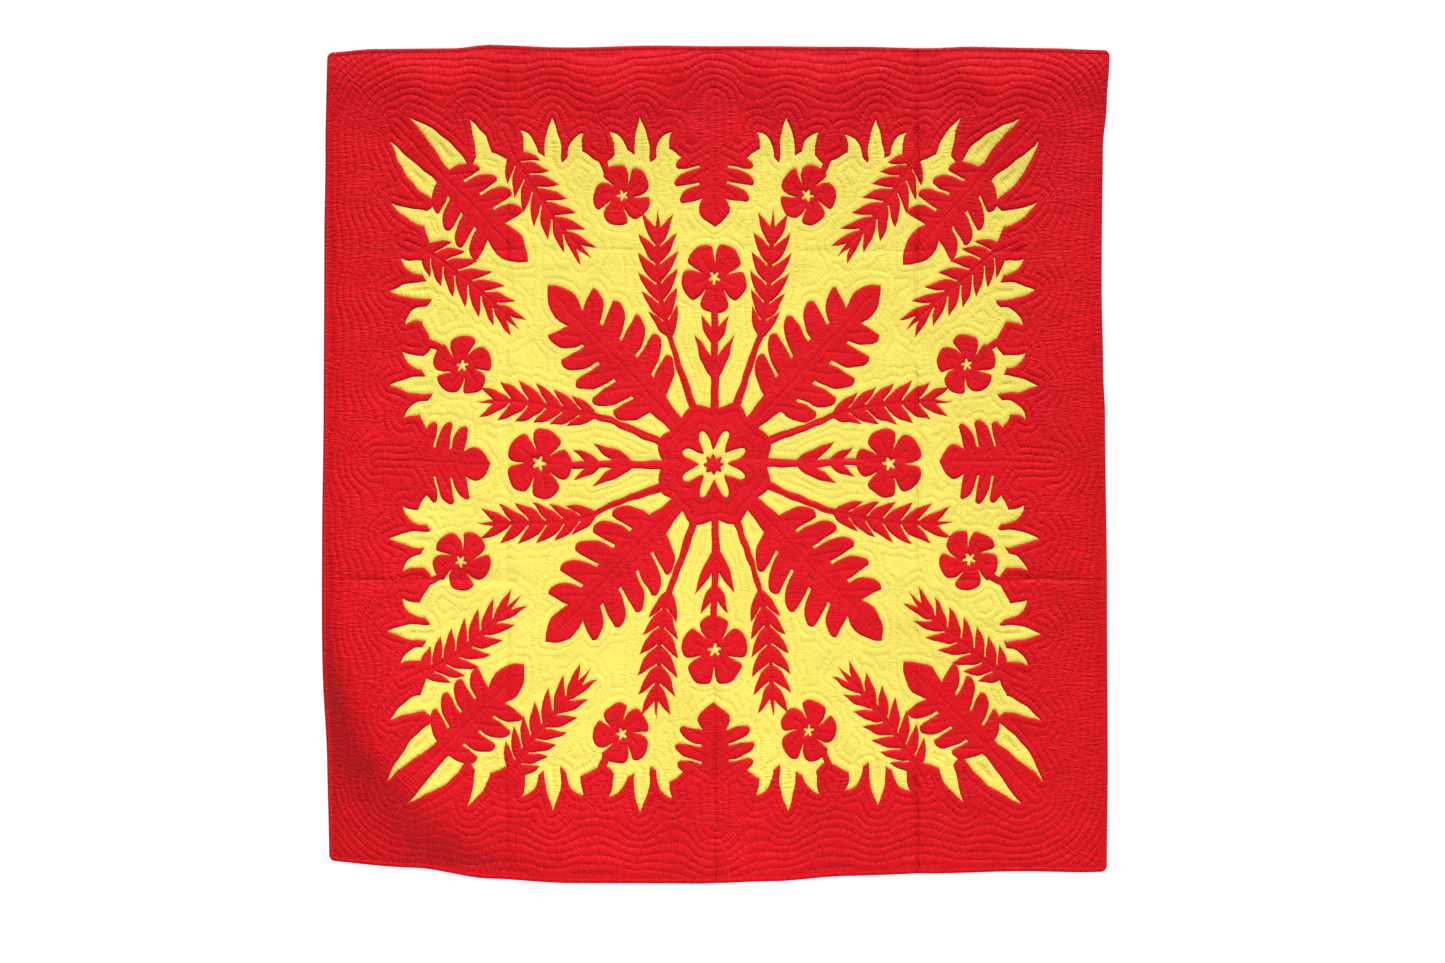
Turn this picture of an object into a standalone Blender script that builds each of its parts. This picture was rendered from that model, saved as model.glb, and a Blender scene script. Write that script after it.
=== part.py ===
"""Quilted wall hanging: a padded quilt panel and the four binding strips round its edge, hung by the top.

Metres, +Z up. The face looks along -Y and +X is to the viewer's right. The origin is the middle of the
top edge, where the hanging is held. The quilt is set out on its flat square cut, and each point of the
cut is then carried to where it hangs, with the swags, curled edges and uneven outline of the cloth.
"""

import math
from collections import namedtuple

import bmesh
import bpy
from mathutils import Vector

# The flat cut and the size to which it hangs
CUT_SIDE = 2.032
HALF_CUT = CUT_SIDE / 2
HUNG_WIDTH = 1.966
HUNG_DROP = 2.098

# The binding: a folded strip that wraps the raw edge
BINDING_WIDTH = 0.011
BINDING_HALF_THICKNESS = 0.0026
BINDING_WALL = 0.0010
BINDING_NOSE = 0.0012
CORNER_RADIUS = 0.016
SEAT_GAP = 0.00032
MITRE_GAP = 0.00017

# The panel: top cloth, wadding and backing, sewn through in echo lines
EDGE_HALF_THICKNESS = BINDING_HALF_THICKNESS - BINDING_WALL - SEAT_GAP
STITCH_PROUD = 0.0018
RIDGE_PROUD = 0.0042
BACK_PROUD = 0.0025
LOFT_START = 0.013
LEAST_RADIUS = CORNER_RADIUS - LOFT_START
BORDER_END = 0.213
BORDER_RIDGES = 10
FIELD_RIDGES = 28
BACK_ROWS = 8
CENTRE_RADIUS = 0.012

# How the echo lines run: square at the edge, round in the middle, rippled between
ROUNDING_PER_METRE = 0.9
ROUND_FROM = 0.06
ROUND_TO = 0.62
RIPPLE = 0.011
RIPPLE_FROM = 0.03
RIPPLE_FULL = 0.12

# Columns of points round the quilt: straight steps on each side, and two chords at each corner
STRAIGHT_STEPS = 14
SIDE_STEPS = STRAIGHT_STEPS + 2
SIDES = ("top", "right", "bottom", "left")
COLUMNS = SIDE_STEPS * len(SIDES)

# The outline, as offsets from a true rectangle: at is the place along the edge from the middle of the
# top or bottom edge, or down from the top; offset is upward for the top and bottom, to the right for
# the left and right edges.
EdgeRow = namedtuple("EdgeRow", "at offset")
TOP_EDGE = (
    EdgeRow(-0.983, -0.016),
    EdgeRow(-0.863, -0.008),
    EdgeRow(-0.663, -0.006),
    EdgeRow(-0.563, 0.003),
    EdgeRow(-0.362, -0.004),
    EdgeRow(-0.162, 0.001),
    EdgeRow(0.000, 0.000),
    EdgeRow(0.340, -0.002),
    EdgeRow(0.540, -0.005),
    EdgeRow(0.641, -0.002),
    EdgeRow(0.842, -0.006),
    EdgeRow(0.983, -0.010),
)
BOTTOM_EDGE = (
    EdgeRow(-0.983, 0.044),
    EdgeRow(-0.763, 0.033),
    EdgeRow(-0.563, 0.010),
    EdgeRow(-0.363, 0.003),
    EdgeRow(-0.060, 0.000),
    EdgeRow(0.140, 0.007),
    EdgeRow(0.340, 0.018),
    EdgeRow(0.540, 0.025),
    EdgeRow(0.740, 0.028),
    EdgeRow(0.983, 0.025),
)
LEFT_EDGE = (
    EdgeRow(0.000, 0.012),
    EdgeRow(0.249, 0.006),
    EdgeRow(0.475, 0.002),
    EdgeRow(0.926, 0.001),
    EdgeRow(1.263, -0.002),
    EdgeRow(1.604, -0.003),
    EdgeRow(1.830, 0.003),
    EdgeRow(2.098, 0.006),
)
RIGHT_EDGE = (
    EdgeRow(0.000, 0.008),
    EdgeRow(0.136, 0.001),
    EdgeRow(0.249, -0.008),
    EdgeRow(0.600, -0.010),
    EdgeRow(0.813, -0.006),
    EdgeRow(0.926, -0.001),
    EdgeRow(1.376, 0.004),
    EdgeRow(1.830, 0.006),
    EdgeRow(2.098, 0.003),
)

# Folds: the top edge is held back at these places and swags forward between them
HELD_AT = (-0.939, -0.468, 0.000, 0.513, 0.936)
SWAG_PROUD = 0.016
SWAG_START = 0.020
SWAG_DEPTH = 0.110
SWAG_SPREAD = 0.085
# The side edges curl back, the lower middle bellies forward, and the lower left corner curls away
CURL_START = 0.845
CURL_BACK = 0.020
BELLY = 0.014
CORNER_FOLD_ACROSS = 0.46
CORNER_FOLD_UP = 0.54
CORNER_FOLD_BOW = 0.72
CORNER_FOLD_BACK = 0.040
CORNER_FOLD_EASE = 0.30
CORNER_FOLD_SOFT = 0.10
# The bottom edge, which hangs free, waves a little
HEM_WAVE = 0.006
HEM_WAVE_LENGTH = 0.46
HEM_WAVE_RISE = 0.25

MATERIALS = {
    "red_cotton": {"colour": (0.68, 0.008, 0.018, 1.0), "roughness": 0.85, "metallic": 0.0},
    "red_binding": {"colour": (0.55, 0.004, 0.012, 1.0), "roughness": 0.80, "metallic": 0.0},
}

SectionPoint = namedtuple("SectionPoint", "inset proud")


def smooth(value):
    """Eases from 0 to 1 as value goes from 0 to 1."""
    value = min(max(value, 0.0), 1.0)
    return value * value * (3 - 2 * value)


def edge_offset(rows, at):
    """The offset of an edge at a place along it, eased between the rows of its table."""
    if at <= rows[0].at:
        return rows[0].offset
    for low, high in zip(rows, rows[1:]):
        if at <= high.at:
            share = smooth((at - low.at) / (high.at - low.at))
            return low.offset + share * (high.offset - low.offset)
    return rows[-1].offset


def hung_place(flat_x, flat_z):
    """Where a point of the flat cut hangs, seen from the front, as (x, z)."""
    across = flat_x / HALF_CUT
    down = (1 - flat_z / HALF_CUT) / 2
    x = across * HUNG_WIDTH / 2
    drop = down * HUNG_DROP
    side_rows = LEFT_EDGE if across < 0 else RIGHT_EDGE
    lift = (1 - down) ** 2 * edge_offset(TOP_EDGE, x) + down**2 * edge_offset(BOTTOM_EDGE, x)
    return x + across**2 * edge_offset(side_rows, drop), lift - drop


def swag_depth(x, z):
    """How far the cloth swags forward between two places where its top edge is held."""
    for left, right in zip(HELD_AT, HELD_AT[1:]):
        if left < x < right:
            arch = math.sin(math.pi * (x - left) / (right - left)) ** 2
            below_crest = -z - SWAG_START - SWAG_DEPTH * arch
            return SWAG_PROUD * arch * math.exp(-((below_crest / SWAG_SPREAD) ** 2))
    return 0.0


def corner_fold_depth(x, z):
    """How far the lower left corner has curled back, from a bowed crease across it."""
    across = max((x + HUNG_WIDTH / 2) / CORNER_FOLD_ACROSS, 0.0)
    up = max((z + HUNG_DROP - BOTTOM_EDGE[0].offset) / CORNER_FOLD_UP, 0.0)
    within = 1 - across**CORNER_FOLD_BOW - up**CORNER_FOLD_BOW
    eased = (within + math.sqrt(within * within + CORNER_FOLD_SOFT**2)) / 2
    return -CORNER_FOLD_BACK * (1 - math.exp(-eased / CORNER_FOLD_EASE))


def fold_depth(x, z):
    """How far the middle of the cloth stands forward of the plane through the held edge."""
    down = min(max(-z / HUNG_DROP, 0.0), 1.0)
    curl = smooth((abs(x) - CURL_START) / (HUNG_WIDTH / 2 - CURL_START)) ** 2
    belly = math.cos(math.pi * x / HUNG_WIDTH) ** 2 * smooth(down)
    wave = math.sin(2 * math.pi * x / HEM_WAVE_LENGTH) * math.exp(-(1 - down) / HEM_WAVE_RISE)
    held = smooth(down / SWAG_DEPTH)
    return (
        swag_depth(x, z)
        - CURL_BACK * curl * held
        + BELLY * belly
        + HEM_WAVE * wave * held
        + corner_fold_depth(x, z) * held
    )


def corner_radius(inset):
    """The corner radius of the line at this inset from the cut edge."""
    if inset < LOFT_START:
        return max(CORNER_RADIUS - inset, LEAST_RADIUS)
    return LEAST_RADIUS + ROUNDING_PER_METRE * (inset - LOFT_START)


def square_point(column, inset):
    """A point of the line at this inset, where it runs as a square with rounded corners."""
    side, step = divmod(column % COLUMNS, SIDE_STEPS)
    reach = HALF_CUT - inset
    radius = min(corner_radius(inset), reach / 2)
    straight = reach - radius
    if step == 0:
        diagonal = straight + radius * math.sqrt(0.5)
        along, out = -diagonal, diagonal
    else:
        along, out = straight * (2 * (step - 1) / STRAIGHT_STEPS - 1), reach
    return turned(along, out, side)


def turned(along, out, side):
    """Turns a point set out on the top side round to another side."""
    for _ in range(side):
        along, out = out, -along
    return along, out


def round_point(column, radius):
    """A point of a round line, with the columns spaced evenly round it."""
    angle = math.radians(135) - 2 * math.pi * column / COLUMNS
    return radius * math.cos(angle), radius * math.sin(angle)


def line_point(column, inset):
    """A point of the echo line at this inset from the cut edge, on the flat cut."""
    step = column % SIDE_STEPS
    rippled = inset
    if step:
        share = smooth((inset - RIPPLE_FROM) / (RIPPLE_FULL - RIPPLE_FROM))
        share *= min(1.0, (HALF_CUT - inset) / ROUND_TO)
        rippled += RIPPLE * share * (1 if step % 2 else -1)
    rippled = min(rippled, HALF_CUT - CENTRE_RADIUS / 2)
    x, z = square_point(column, rippled)
    roundness = smooth((inset - ROUND_FROM) / (ROUND_TO - ROUND_FROM))
    round_x, round_z = round_point(column, HALF_CUT - rippled)
    return x + roundness * (round_x - x), z + roundness * (round_z - z)


def hung_point(flat, fold_at, proud):
    """Carries a point of the cut to where it hangs, standing proud of the middle of the cloth."""
    x, z = hung_place(*flat)
    return Vector((x, -fold_depth(*hung_place(*fold_at)) - proud, z))


def cloth_point(column, inset, proud):
    """A point of the quilt. Inside the binding the depth is the one at the binding's inner edge."""
    fold_at = line_point(column, inset)
    if inset <= LOFT_START:
        fold_at = line_point(nearest_corner(column), LOFT_START)
    return hung_point(line_point(column, inset), fold_at, proud)


def nearest_corner(column):
    """The corner's own column for the points on its arc, which lie flat, and else the same column."""
    side, step = divmod(column % COLUMNS, SIDE_STEPS)
    if step == 1:
        return column - 1
    return column + 1 if step == SIDE_STEPS - 1 else column


def panel_rows():
    """The panel's section from the middle of its face, out round its edge, to the middle of its back."""
    field_pitch = (HALF_CUT - BORDER_END - CENTRE_RADIUS) / FIELD_RIDGES
    border_pitch = (BORDER_END - LOFT_START) / BORDER_RIDGES
    rows = [SectionPoint(HALF_CUT, STITCH_PROUD)]
    for ridge in range(FIELD_RIDGES):
        inset = HALF_CUT - CENTRE_RADIUS - ridge * field_pitch
        rows.append(SectionPoint(inset, STITCH_PROUD))
        rows.append(SectionPoint(inset - field_pitch / 2, RIDGE_PROUD))
    for ridge in range(BORDER_RIDGES):
        inset = BORDER_END - ridge * border_pitch
        rows.append(SectionPoint(inset, STITCH_PROUD))
        rows.append(SectionPoint(inset - border_pitch / 2, RIDGE_PROUD))
    edge_inset = BINDING_WALL + SEAT_GAP + BINDING_WALL / 2
    rows += [
        SectionPoint(LOFT_START, EDGE_HALF_THICKNESS),
        SectionPoint(edge_inset, EDGE_HALF_THICKNESS),
        SectionPoint(edge_inset, -EDGE_HALF_THICKNESS),
        SectionPoint(LOFT_START, -EDGE_HALF_THICKNESS),
    ]
    for row in range(BACK_ROWS):
        share = (row / BACK_ROWS) ** 1.5
        start = 2 * LOFT_START
        inset = start + share * (HALF_CUT - CENTRE_RADIUS - start)
        rows.append(SectionPoint(inset, -BACK_PROUD))
    rows.append(SectionPoint(HALF_CUT, -BACK_PROUD))
    return rows


def wrapped_grid(bm, across, along, place):
    """Lays a grid primitive on the surface that place(i, j) gives, and welds where it meets itself."""
    made = bmesh.ops.create_grid(bm, x_segments=across, y_segments=along, size=1.0)
    for vertex in made["verts"]:
        i = round((vertex.co.x + 1) / 2 * across)
        j = round((vertex.co.y + 1) / 2 * along)
        vertex.co = place(i, j)
    bmesh.ops.remove_doubles(bm, verts=bm.verts, dist=1e-6)


def add_object(name, bm, material, collection):
    """Makes one named object with its material from a closed bmesh."""
    bmesh.ops.recalc_face_normals(bm, faces=bm.faces)
    bmesh.ops.triangulate(bm, faces=bm.faces)
    mesh = bpy.data.meshes.new(name)
    bm.to_mesh(mesh)
    bm.free()
    mesh.shade_smooth()
    mesh.set_sharp_from_angle(angle=math.radians(40))
    mesh.materials.append(material)
    obj = bpy.data.objects.new(name, mesh)
    collection.objects.link(obj)
    return obj


def add_panel(material, collection):
    """The quilt panel: one closed solid with its echo-quilted ridges raised on the face."""
    rows = panel_rows()
    centre_front = hung_point((0, 0), (0, 0), rows[0].proud)
    centre_back = hung_point((0, 0), (0, 0), rows[-1].proud)

    def place(column, row):
        if row == 0:
            return centre_front
        if row == len(rows) - 1:
            return centre_back
        return cloth_point(column % COLUMNS, rows[row].inset, rows[row].proud)

    bm = bmesh.new()
    wrapped_grid(bm, COLUMNS, len(rows) - 1, place)
    return add_object("quilt_panel", bm, material, collection)


def binding_section():
    """The binding's folded section: round the nose, up the face, and back along the slot it wraps."""
    slot = BINDING_HALF_THICKNESS - BINDING_WALL
    half = [
        SectionPoint(0.0, BINDING_HALF_THICKNESS - BINDING_NOSE),
        SectionPoint(BINDING_NOSE, BINDING_HALF_THICKNESS),
        SectionPoint(BINDING_WIDTH, BINDING_HALF_THICKNESS),
        SectionPoint(BINDING_WIDTH, slot),
        SectionPoint(BINDING_WALL + SEAT_GAP / 2, slot),
    ]
    return half + [SectionPoint(point.inset, -point.proud) for point in reversed(half)]


def add_binding(side, material, collection):
    """One binding strip, mitred where it meets the strips on the sides next to it."""
    section = binding_section()
    first = SIDES.index(side) * SIDE_STEPS

    def place(corner, step):
        point = section[corner % len(section)]
        here = cloth_point(first + step, point.inset, point.proud)
        if step in (0, SIDE_STEPS):
            inward = 1 if step == 0 else -1
            beside = cloth_point(first + step + inward, point.inset, point.proud)
            here += (beside - here).normalized() * MITRE_GAP
        return here

    bm = bmesh.new()
    wrapped_grid(bm, len(section), SIDE_STEPS, place)
    bmesh.ops.holes_fill(bm, edges=bm.edges, sides=0)
    return add_object(f"binding_{side}", bm, material, collection)


def add_material(name, colour, roughness, metallic):
    """A plain cloth finish."""
    material = bpy.data.materials.new(name)
    material.use_nodes = True
    shader = material.node_tree.nodes["Principled BSDF"]
    shader.inputs["Base Color"].default_value = colour
    shader.inputs["Roughness"].default_value = roughness
    shader.inputs["Metallic"].default_value = metallic
    return material


def main():
    """Clears the scene and builds the hanging in its own collection."""
    for obj in list(bpy.data.objects):
        bpy.data.objects.remove(obj)
    collection = bpy.data.collections.new("quilted_wall_hanging")
    bpy.context.scene.collection.children.link(collection)
    materials = {name: add_material(name, **finish) for name, finish in MATERIALS.items()}
    add_panel(materials["red_cotton"], collection)
    for side in SIDES:
        add_binding(side, materials["red_binding"], collection)


main()
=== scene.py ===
"""Looks of the quilted wall hanging: applique, ground and back cloths, binding, stitches and their finishes.

The quilt is drawn on its flat square cut as one eighth of a folded and cut pattern, quilted in echo
lines round every motif, unfolded eight times, and carried to where the cloth hangs. Flat points are
complex numbers in metres from the middle of the cut, and hung points are in the frame's axes.
"""

from __future__ import annotations

import cmath
import logging
import math
from collections import defaultdict
from collections.abc import Iterable, Iterator
from dataclasses import dataclass, field
from enum import Enum

import bpy
import numpy as np
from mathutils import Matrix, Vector, geometry, kdtree

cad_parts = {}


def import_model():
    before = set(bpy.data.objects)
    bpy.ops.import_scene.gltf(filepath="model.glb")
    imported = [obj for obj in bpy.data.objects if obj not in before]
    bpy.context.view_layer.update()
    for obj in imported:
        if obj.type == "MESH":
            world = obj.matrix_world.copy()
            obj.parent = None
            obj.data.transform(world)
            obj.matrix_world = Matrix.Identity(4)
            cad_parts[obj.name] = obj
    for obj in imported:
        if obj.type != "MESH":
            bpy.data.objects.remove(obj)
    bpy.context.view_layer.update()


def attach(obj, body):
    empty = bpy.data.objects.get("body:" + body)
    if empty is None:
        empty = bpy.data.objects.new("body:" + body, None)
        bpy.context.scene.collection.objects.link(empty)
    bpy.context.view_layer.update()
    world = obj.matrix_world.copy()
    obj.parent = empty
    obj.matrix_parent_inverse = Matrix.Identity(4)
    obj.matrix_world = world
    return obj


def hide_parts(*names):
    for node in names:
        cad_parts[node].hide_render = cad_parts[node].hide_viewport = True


LOG = logging.getLogger("quilt")

BODY = "root"
PANEL_NODE = "quilt_panel"
SIDES = ("top", "right", "bottom", "left")

# The flat cut and the size to which it hangs
CUT_SIDE = 2.032
HALF_CUT = CUT_SIDE / 2
HUNG_WIDTH = 1.966
HUNG_DROP = 2.098

# The binding, and how far the sheets run into it
BINDING_WIDTH = 0.011
CORNER_RADIUS = 0.016
FOLD_INSET = 0.013
SHEET_INSET = 0.006
SHEET_HALF = HALF_CUT - SHEET_INSET
SEAM_HALF = HALF_CUT - BINDING_WIDTH

# Heights over the middle of the cloth
VALLEY_PROUD = 0.0018
APPLIQUE_RIDGE = 0.0015
GROUND_RIDGE = 0.0014
APPLIQUE_RISE = 0.0007
HIDDEN_PROUD = 0.0010
GROUND_HIDDEN = 0.0005
BACK_VALLEY = 0.0012
BACK_RISE = 0.0017

# Echo quilting
ECHO_PITCH = 0.0184
EDGE_ECHOES = 8.5
EDGE_ARC_RADIUS = 0.27
STITCH_PITCH = 0.006
MIDDLE_FULLNESS = 0.64
MIDDLE_END = 0.62
MIDDLE_EASE = 0.20

# Tolerances on the flat cut
WELD = 1e-6
ON_LINE = 2e-6
RIM_SLACK = 1e-4
LEAST_TURN = 1e-10
LEAST_SLOPE = 1e-12

# How finely the sheets are triangulated: the echo phases that get a line, and the steps along it
FINE_PHASES = (0.0, 0.22, 0.5, 0.78)
FINE_STEP = 0.009
COARSE_PHASES = (0.0, 0.5)
COARSE_STEP = 0.014

DIAGONAL = cmath.rect(1, math.pi / 4)


def smooth(share: np.ndarray) -> np.ndarray:
    """Eases from 0 to 1.

    Args:
        share: Values, of which 0 to 1 is eased and the rest is clamped.

    Returns:
        The eased values.
    """
    share = np.clip(share, 0.0, 1.0)
    return share * share * (3 - 2 * share)


def from_middle(flat: np.ndarray) -> np.ndarray:
    """The distance from the middle of the cut, square to the nearest of its edges."""
    return np.maximum(np.abs(flat.real), np.abs(flat.imag))


def fullness(flat: np.ndarray) -> np.ndarray:
    """How far the quilting puffs and puckers: gently in the middle of the cut, fully in its border.

    Args:
        flat: Flat points.

    Returns:
        Shares of the full height.
    """
    return MIDDLE_FULLNESS + (1 - MIDDLE_FULLNESS) * smooth((from_middle(flat) - MIDDLE_END) / MIDDLE_EASE)


@dataclass(frozen=True)
class Drift:
    """A smooth random field over the plane: a sum of waves with random headings and phases."""

    wavelength: float
    seed: int
    waves: int = 9
    rates: tuple[float, float] = (0.6, 1.5)
    taming: float = 1.6

    def at(self, points: np.ndarray) -> np.ndarray:
        """The field's values.

        Args:
            points: Flat points.

        Returns:
            Values of about -1 to 1.
        """
        random = np.random.default_rng(self.seed)
        total = np.zeros(len(points))
        for _ in range(self.waves):
            rate = math.tau / self.wavelength * random.uniform(*self.rates)
            heading = cmath.rect(rate, random.uniform(0, math.tau))
            phase = random.uniform(0, math.tau)
            total += np.sin(points.real * heading.real + points.imag * heading.imag + phase)
        return total / math.sqrt(self.waves / 2) / self.taming


@dataclass(frozen=True)
class EdgeTable:
    """One edge's offsets from a true rectangle, eased between rows of (place along it, offset)."""

    rows: tuple[tuple[float, float], ...]

    def offset(self, at: np.ndarray) -> np.ndarray:
        """The offset at places along the edge.

        Args:
            at: Places in metres.

        Returns:
            Offsets in metres.
        """
        places, offsets = (np.array(column) for column in zip(*self.rows))
        low = np.clip(np.searchsorted(places, at) - 1, 0, len(places) - 2)
        share = smooth((at - places[low]) / (places[low + 1] - places[low]))
        return offsets[low] + share * (offsets[low + 1] - offsets[low])


@dataclass(frozen=True)
class Crease:
    """A packing crease: a shallow trough along a straight line, faded at both ends."""

    upright: bool
    at: float
    first: float
    last: float
    depth: float
    half_width: float = 0.014
    fade_share: float = 0.25
    wavers: tuple[tuple[float, float], ...] = ((0.004, 17.0), (0.002, 41.0))
    bank: float = 0.35
    bank_spread: float = 2.4

    def trough(self, x: np.ndarray, z: np.ndarray) -> np.ndarray:
        """How far the crease presses the cloth back.

        Args:
            x: Places across.
            z: Places up.

        Returns:
            Depths in metres.
        """
        across, along = (x, z) if self.upright else (z, x)
        length = self.last - self.first
        share = np.clip((along - self.first) / length, 0.0, 1.0)
        fade = smooth(share / self.fade_share) * smooth((1 - share) / self.fade_share)
        waver = sum(swing * np.sin(along * rate) for swing, rate in self.wavers)
        off = (across - self.at - waver) / self.half_width
        banks = self.bank * np.exp(-((off / self.bank_spread) ** 2))
        return self.depth * fade * (np.exp(-off * off) - banks)


@dataclass(frozen=True)
class HungCloth:
    """The shape in which the cloth hangs."""

    top: EdgeTable = EdgeTable((
        (-0.983, -0.016), (-0.863, -0.008), (-0.663, -0.006), (-0.563, 0.003), (-0.362, -0.004),
        (-0.162, 0.001), (0.000, 0.000), (0.340, -0.002), (0.540, -0.005), (0.641, -0.002),
        (0.842, -0.006), (0.983, -0.010),
    ))
    bottom: EdgeTable = EdgeTable((
        (-0.983, 0.044), (-0.763, 0.033), (-0.563, 0.010), (-0.363, 0.003), (-0.060, 0.000),
        (0.140, 0.007), (0.340, 0.018), (0.540, 0.025), (0.740, 0.028), (0.983, 0.025),
    ))
    left: EdgeTable = EdgeTable((
        (0.000, 0.012), (0.249, 0.006), (0.475, 0.002), (0.926, 0.001), (1.263, -0.002),
        (1.604, -0.003), (1.830, 0.003), (2.098, 0.006),
    ))
    right: EdgeTable = EdgeTable((
        (0.000, 0.008), (0.136, 0.001), (0.249, -0.008), (0.600, -0.010), (0.813, -0.006),
        (0.926, -0.001), (1.376, 0.004), (1.830, 0.006), (2.098, 0.003),
    ))
    held_at: tuple[float, ...] = (-0.939, -0.468, 0.000, 0.513, 0.936)
    swag_proud: float = 0.0145
    swag_start: float = 0.020
    swag_depth: float = 0.110
    swag_spread: float = 0.085
    swag_ease: float = 1.6
    curl_start: float = 0.845
    curl_back: float = 0.024
    curl_power: float = 3.0
    curl_reach: float = 0.24
    belly: float = 0.014
    corner_across: float = 0.46
    corner_up: float = 0.55
    corner_edge: float = 0.12
    corner_bow: float = 0.45
    corner_reach: float = 0.722
    corner_tilt: float = 1.3
    corner_drop: float = 0.040
    corner_drop_ease: float = 0.24
    corner_lean: float = 0.014
    corner_soft: float = 0.10
    corner_crest: float = 0.021
    crest_before: float = 0.50
    crest_after: float = 0.23
    corner_fade: tuple[float, float, float] = (0.5, -0.80, 0.25)
    roll: float = 0.0036
    roll_at: float = 0.075
    roll_spread: float = 0.055
    roll_back: float = 0.022
    hem_wave: float = 0.006
    hem_wave_length: float = 0.46
    hem_wave_rise: float = 0.25
    creases: tuple[Crease, ...] = (
        Crease(True, 0.505, -2.50, 0.35, 0.0062),
        Crease(True, -0.520, -2.40, 0.25, 0.0036),
        Crease(True, 0.000, -2.30, -1.45, 0.0044),
        Crease(True, -0.010, -1.20, -0.05, 0.0012),
        Crease(False, -1.339, -0.98, -0.45, 0.0026),
        Crease(False, -1.339, 0.50, 0.98, 0.0030),
        Crease(False, -1.035, -0.60, 0.60, 0.0015),
        Crease(False, -0.514, -0.95, 0.95, 0.0015),
    )

    def seen(self, flat: np.ndarray) -> tuple[np.ndarray, np.ndarray]:
        """Where flat points hang, seen from the front.

        Args:
            flat: Flat points.

        Returns:
            Their x and z.
        """
        across = flat.real / HALF_CUT
        down = (1 - flat.imag / HALF_CUT) / 2
        x = across * HUNG_WIDTH / 2
        drop = down * HUNG_DROP
        side = np.where(across < 0, self.left.offset(drop), self.right.offset(drop))
        lift = (1 - down) ** 2 * self.top.offset(x) + down**2 * self.bottom.offset(x)
        return x + across**2 * side, lift - drop

    def swags(self, x: np.ndarray, z: np.ndarray) -> np.ndarray:
        """How far the cloth swags forward between the places where its top edge is held."""
        total = np.zeros_like(x)
        for left, right in zip(self.held_at, self.held_at[1:]):
            arch = np.sin(np.pi * np.clip((x - left) / (right - left), 0.0, 1.0)) ** 2
            below = (-z - self.swag_start - self.swag_depth * arch) / self.swag_spread
            below = np.where(below > 0, below / self.swag_ease, below)
            total += self.swag_proud * arch * np.exp(-below * below)
        return total

    def corner_fold(self, x: np.ndarray, z: np.ndarray) -> np.ndarray:
        """How far the lower left corner has curled back."""
        across = np.maximum((x + HUNG_WIDTH / 2) / self.corner_across, 0.0) + self.corner_edge
        up = np.maximum((z + HUNG_DROP - self.bottom.rows[0][1]) / self.corner_up, 0.0) + self.corner_edge
        within = self.corner_reach + 2 * self.corner_edge**self.corner_bow
        within = self.corner_tilt * (within - across**self.corner_bow - up**self.corner_bow)
        eased = (within + np.sqrt(within * within + self.corner_soft**2)) / 2
        drop = self.corner_drop * (1 - np.exp(-eased / self.corner_drop_ease)) + self.corner_lean * eased
        spread = np.where(within > 0, self.crest_after, self.crest_before)
        crest = self.corner_crest * np.exp(-((within / spread) ** 2))
        share, start, length = self.corner_fade
        return (crest - drop) * (1 - share * smooth((x - start) / length))

    def top_roll(self, z: np.ndarray) -> np.ndarray:
        """How far the cloth rolls forward as it comes down from its held edge."""
        below = (-z - self.roll_at) / self.roll_spread
        return self.roll * (np.exp(-below * below) - np.exp(np.minimum(z, 0.0) / self.roll_back))

    def depth(self, x: np.ndarray, z: np.ndarray) -> np.ndarray:
        """How far the middle of the cloth stands forward of the plane through the held edge."""
        down = np.clip(-z / HUNG_DROP, 0.0, 1.0)
        held = smooth(down / self.swag_depth)
        curl = np.clip((np.abs(x) - self.curl_start) / (HUNG_WIDTH / 2 - self.curl_start), 0.0, 1.0)
        belly = np.cos(np.pi * x / HUNG_WIDTH) ** 2 * smooth(down)
        wave = np.sin(2 * np.pi * x / self.hem_wave_length) * np.exp(-(1 - down) / self.hem_wave_rise)
        curl = self.curl_back * curl**self.curl_power * smooth(down / self.curl_reach)
        total = self.swags(x, z) - curl + self.belly * belly
        total += self.hem_wave * wave * held + self.corner_fold(x, z) * held + self.top_roll(z)
        for crease in self.creases:
            total -= crease.trough(x, z)
        return total

    def points(self, flat: np.ndarray, proud: np.ndarray) -> np.ndarray:
        """Carries flat points to where they hang.

        Args:
            flat: Flat points.
            proud: How far each stands forward of the middle of the cloth.

        Returns:
            An array of hung points, one row each.
        """
        inner = HALF_CUT - FOLD_INSET
        fold_at = np.clip(flat.real, -inner, inner) + 1j * np.clip(flat.imag, -inner, inner)
        x, z = self.seen(flat)
        return np.stack([x, -self.depth(*self.seen(fold_at)) - proud, z], axis=1)


class Cloth(Enum):
    """The two cloths of the face."""

    APPLIQUE = "applique"
    GROUND = "ground"


@dataclass(frozen=True)
class Motif:
    """One closed outline on the flat cut, the cloth inside it, and the lines quilted along its veins."""

    cloth: Cloth
    outline: list[complex]
    veins: tuple[list[complex], ...] = ()


@dataclass(frozen=True)
class Rib:
    """The bowed middle line of a leaf, stem or edge: a curve from start to end, pulled towards bow."""

    start: complex
    bow: complex
    end: complex

    def place(self, along: float, across: float = 0.0) -> complex:
        """A point beside the rib.

        Args:
            along: The share of the way along the curve.
            across: How far to the left of it, in metres.

        Returns:
            The flat point.
        """
        rest = 1 - along
        point = rest * rest * self.start + 2 * rest * along * self.bow + along * along * self.end
        heading = rest * (self.bow - self.start) + along * (self.end - self.bow)
        return point + 1j * across * heading / abs(heading)

    def run(self, steps: int, first: float = 0.0, last: float = 1.0) -> list[complex]:
        """Points along the rib, both ends included."""
        return [self.place(first + (last - first) * step / steps) for step in range(steps + 1)]


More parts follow.
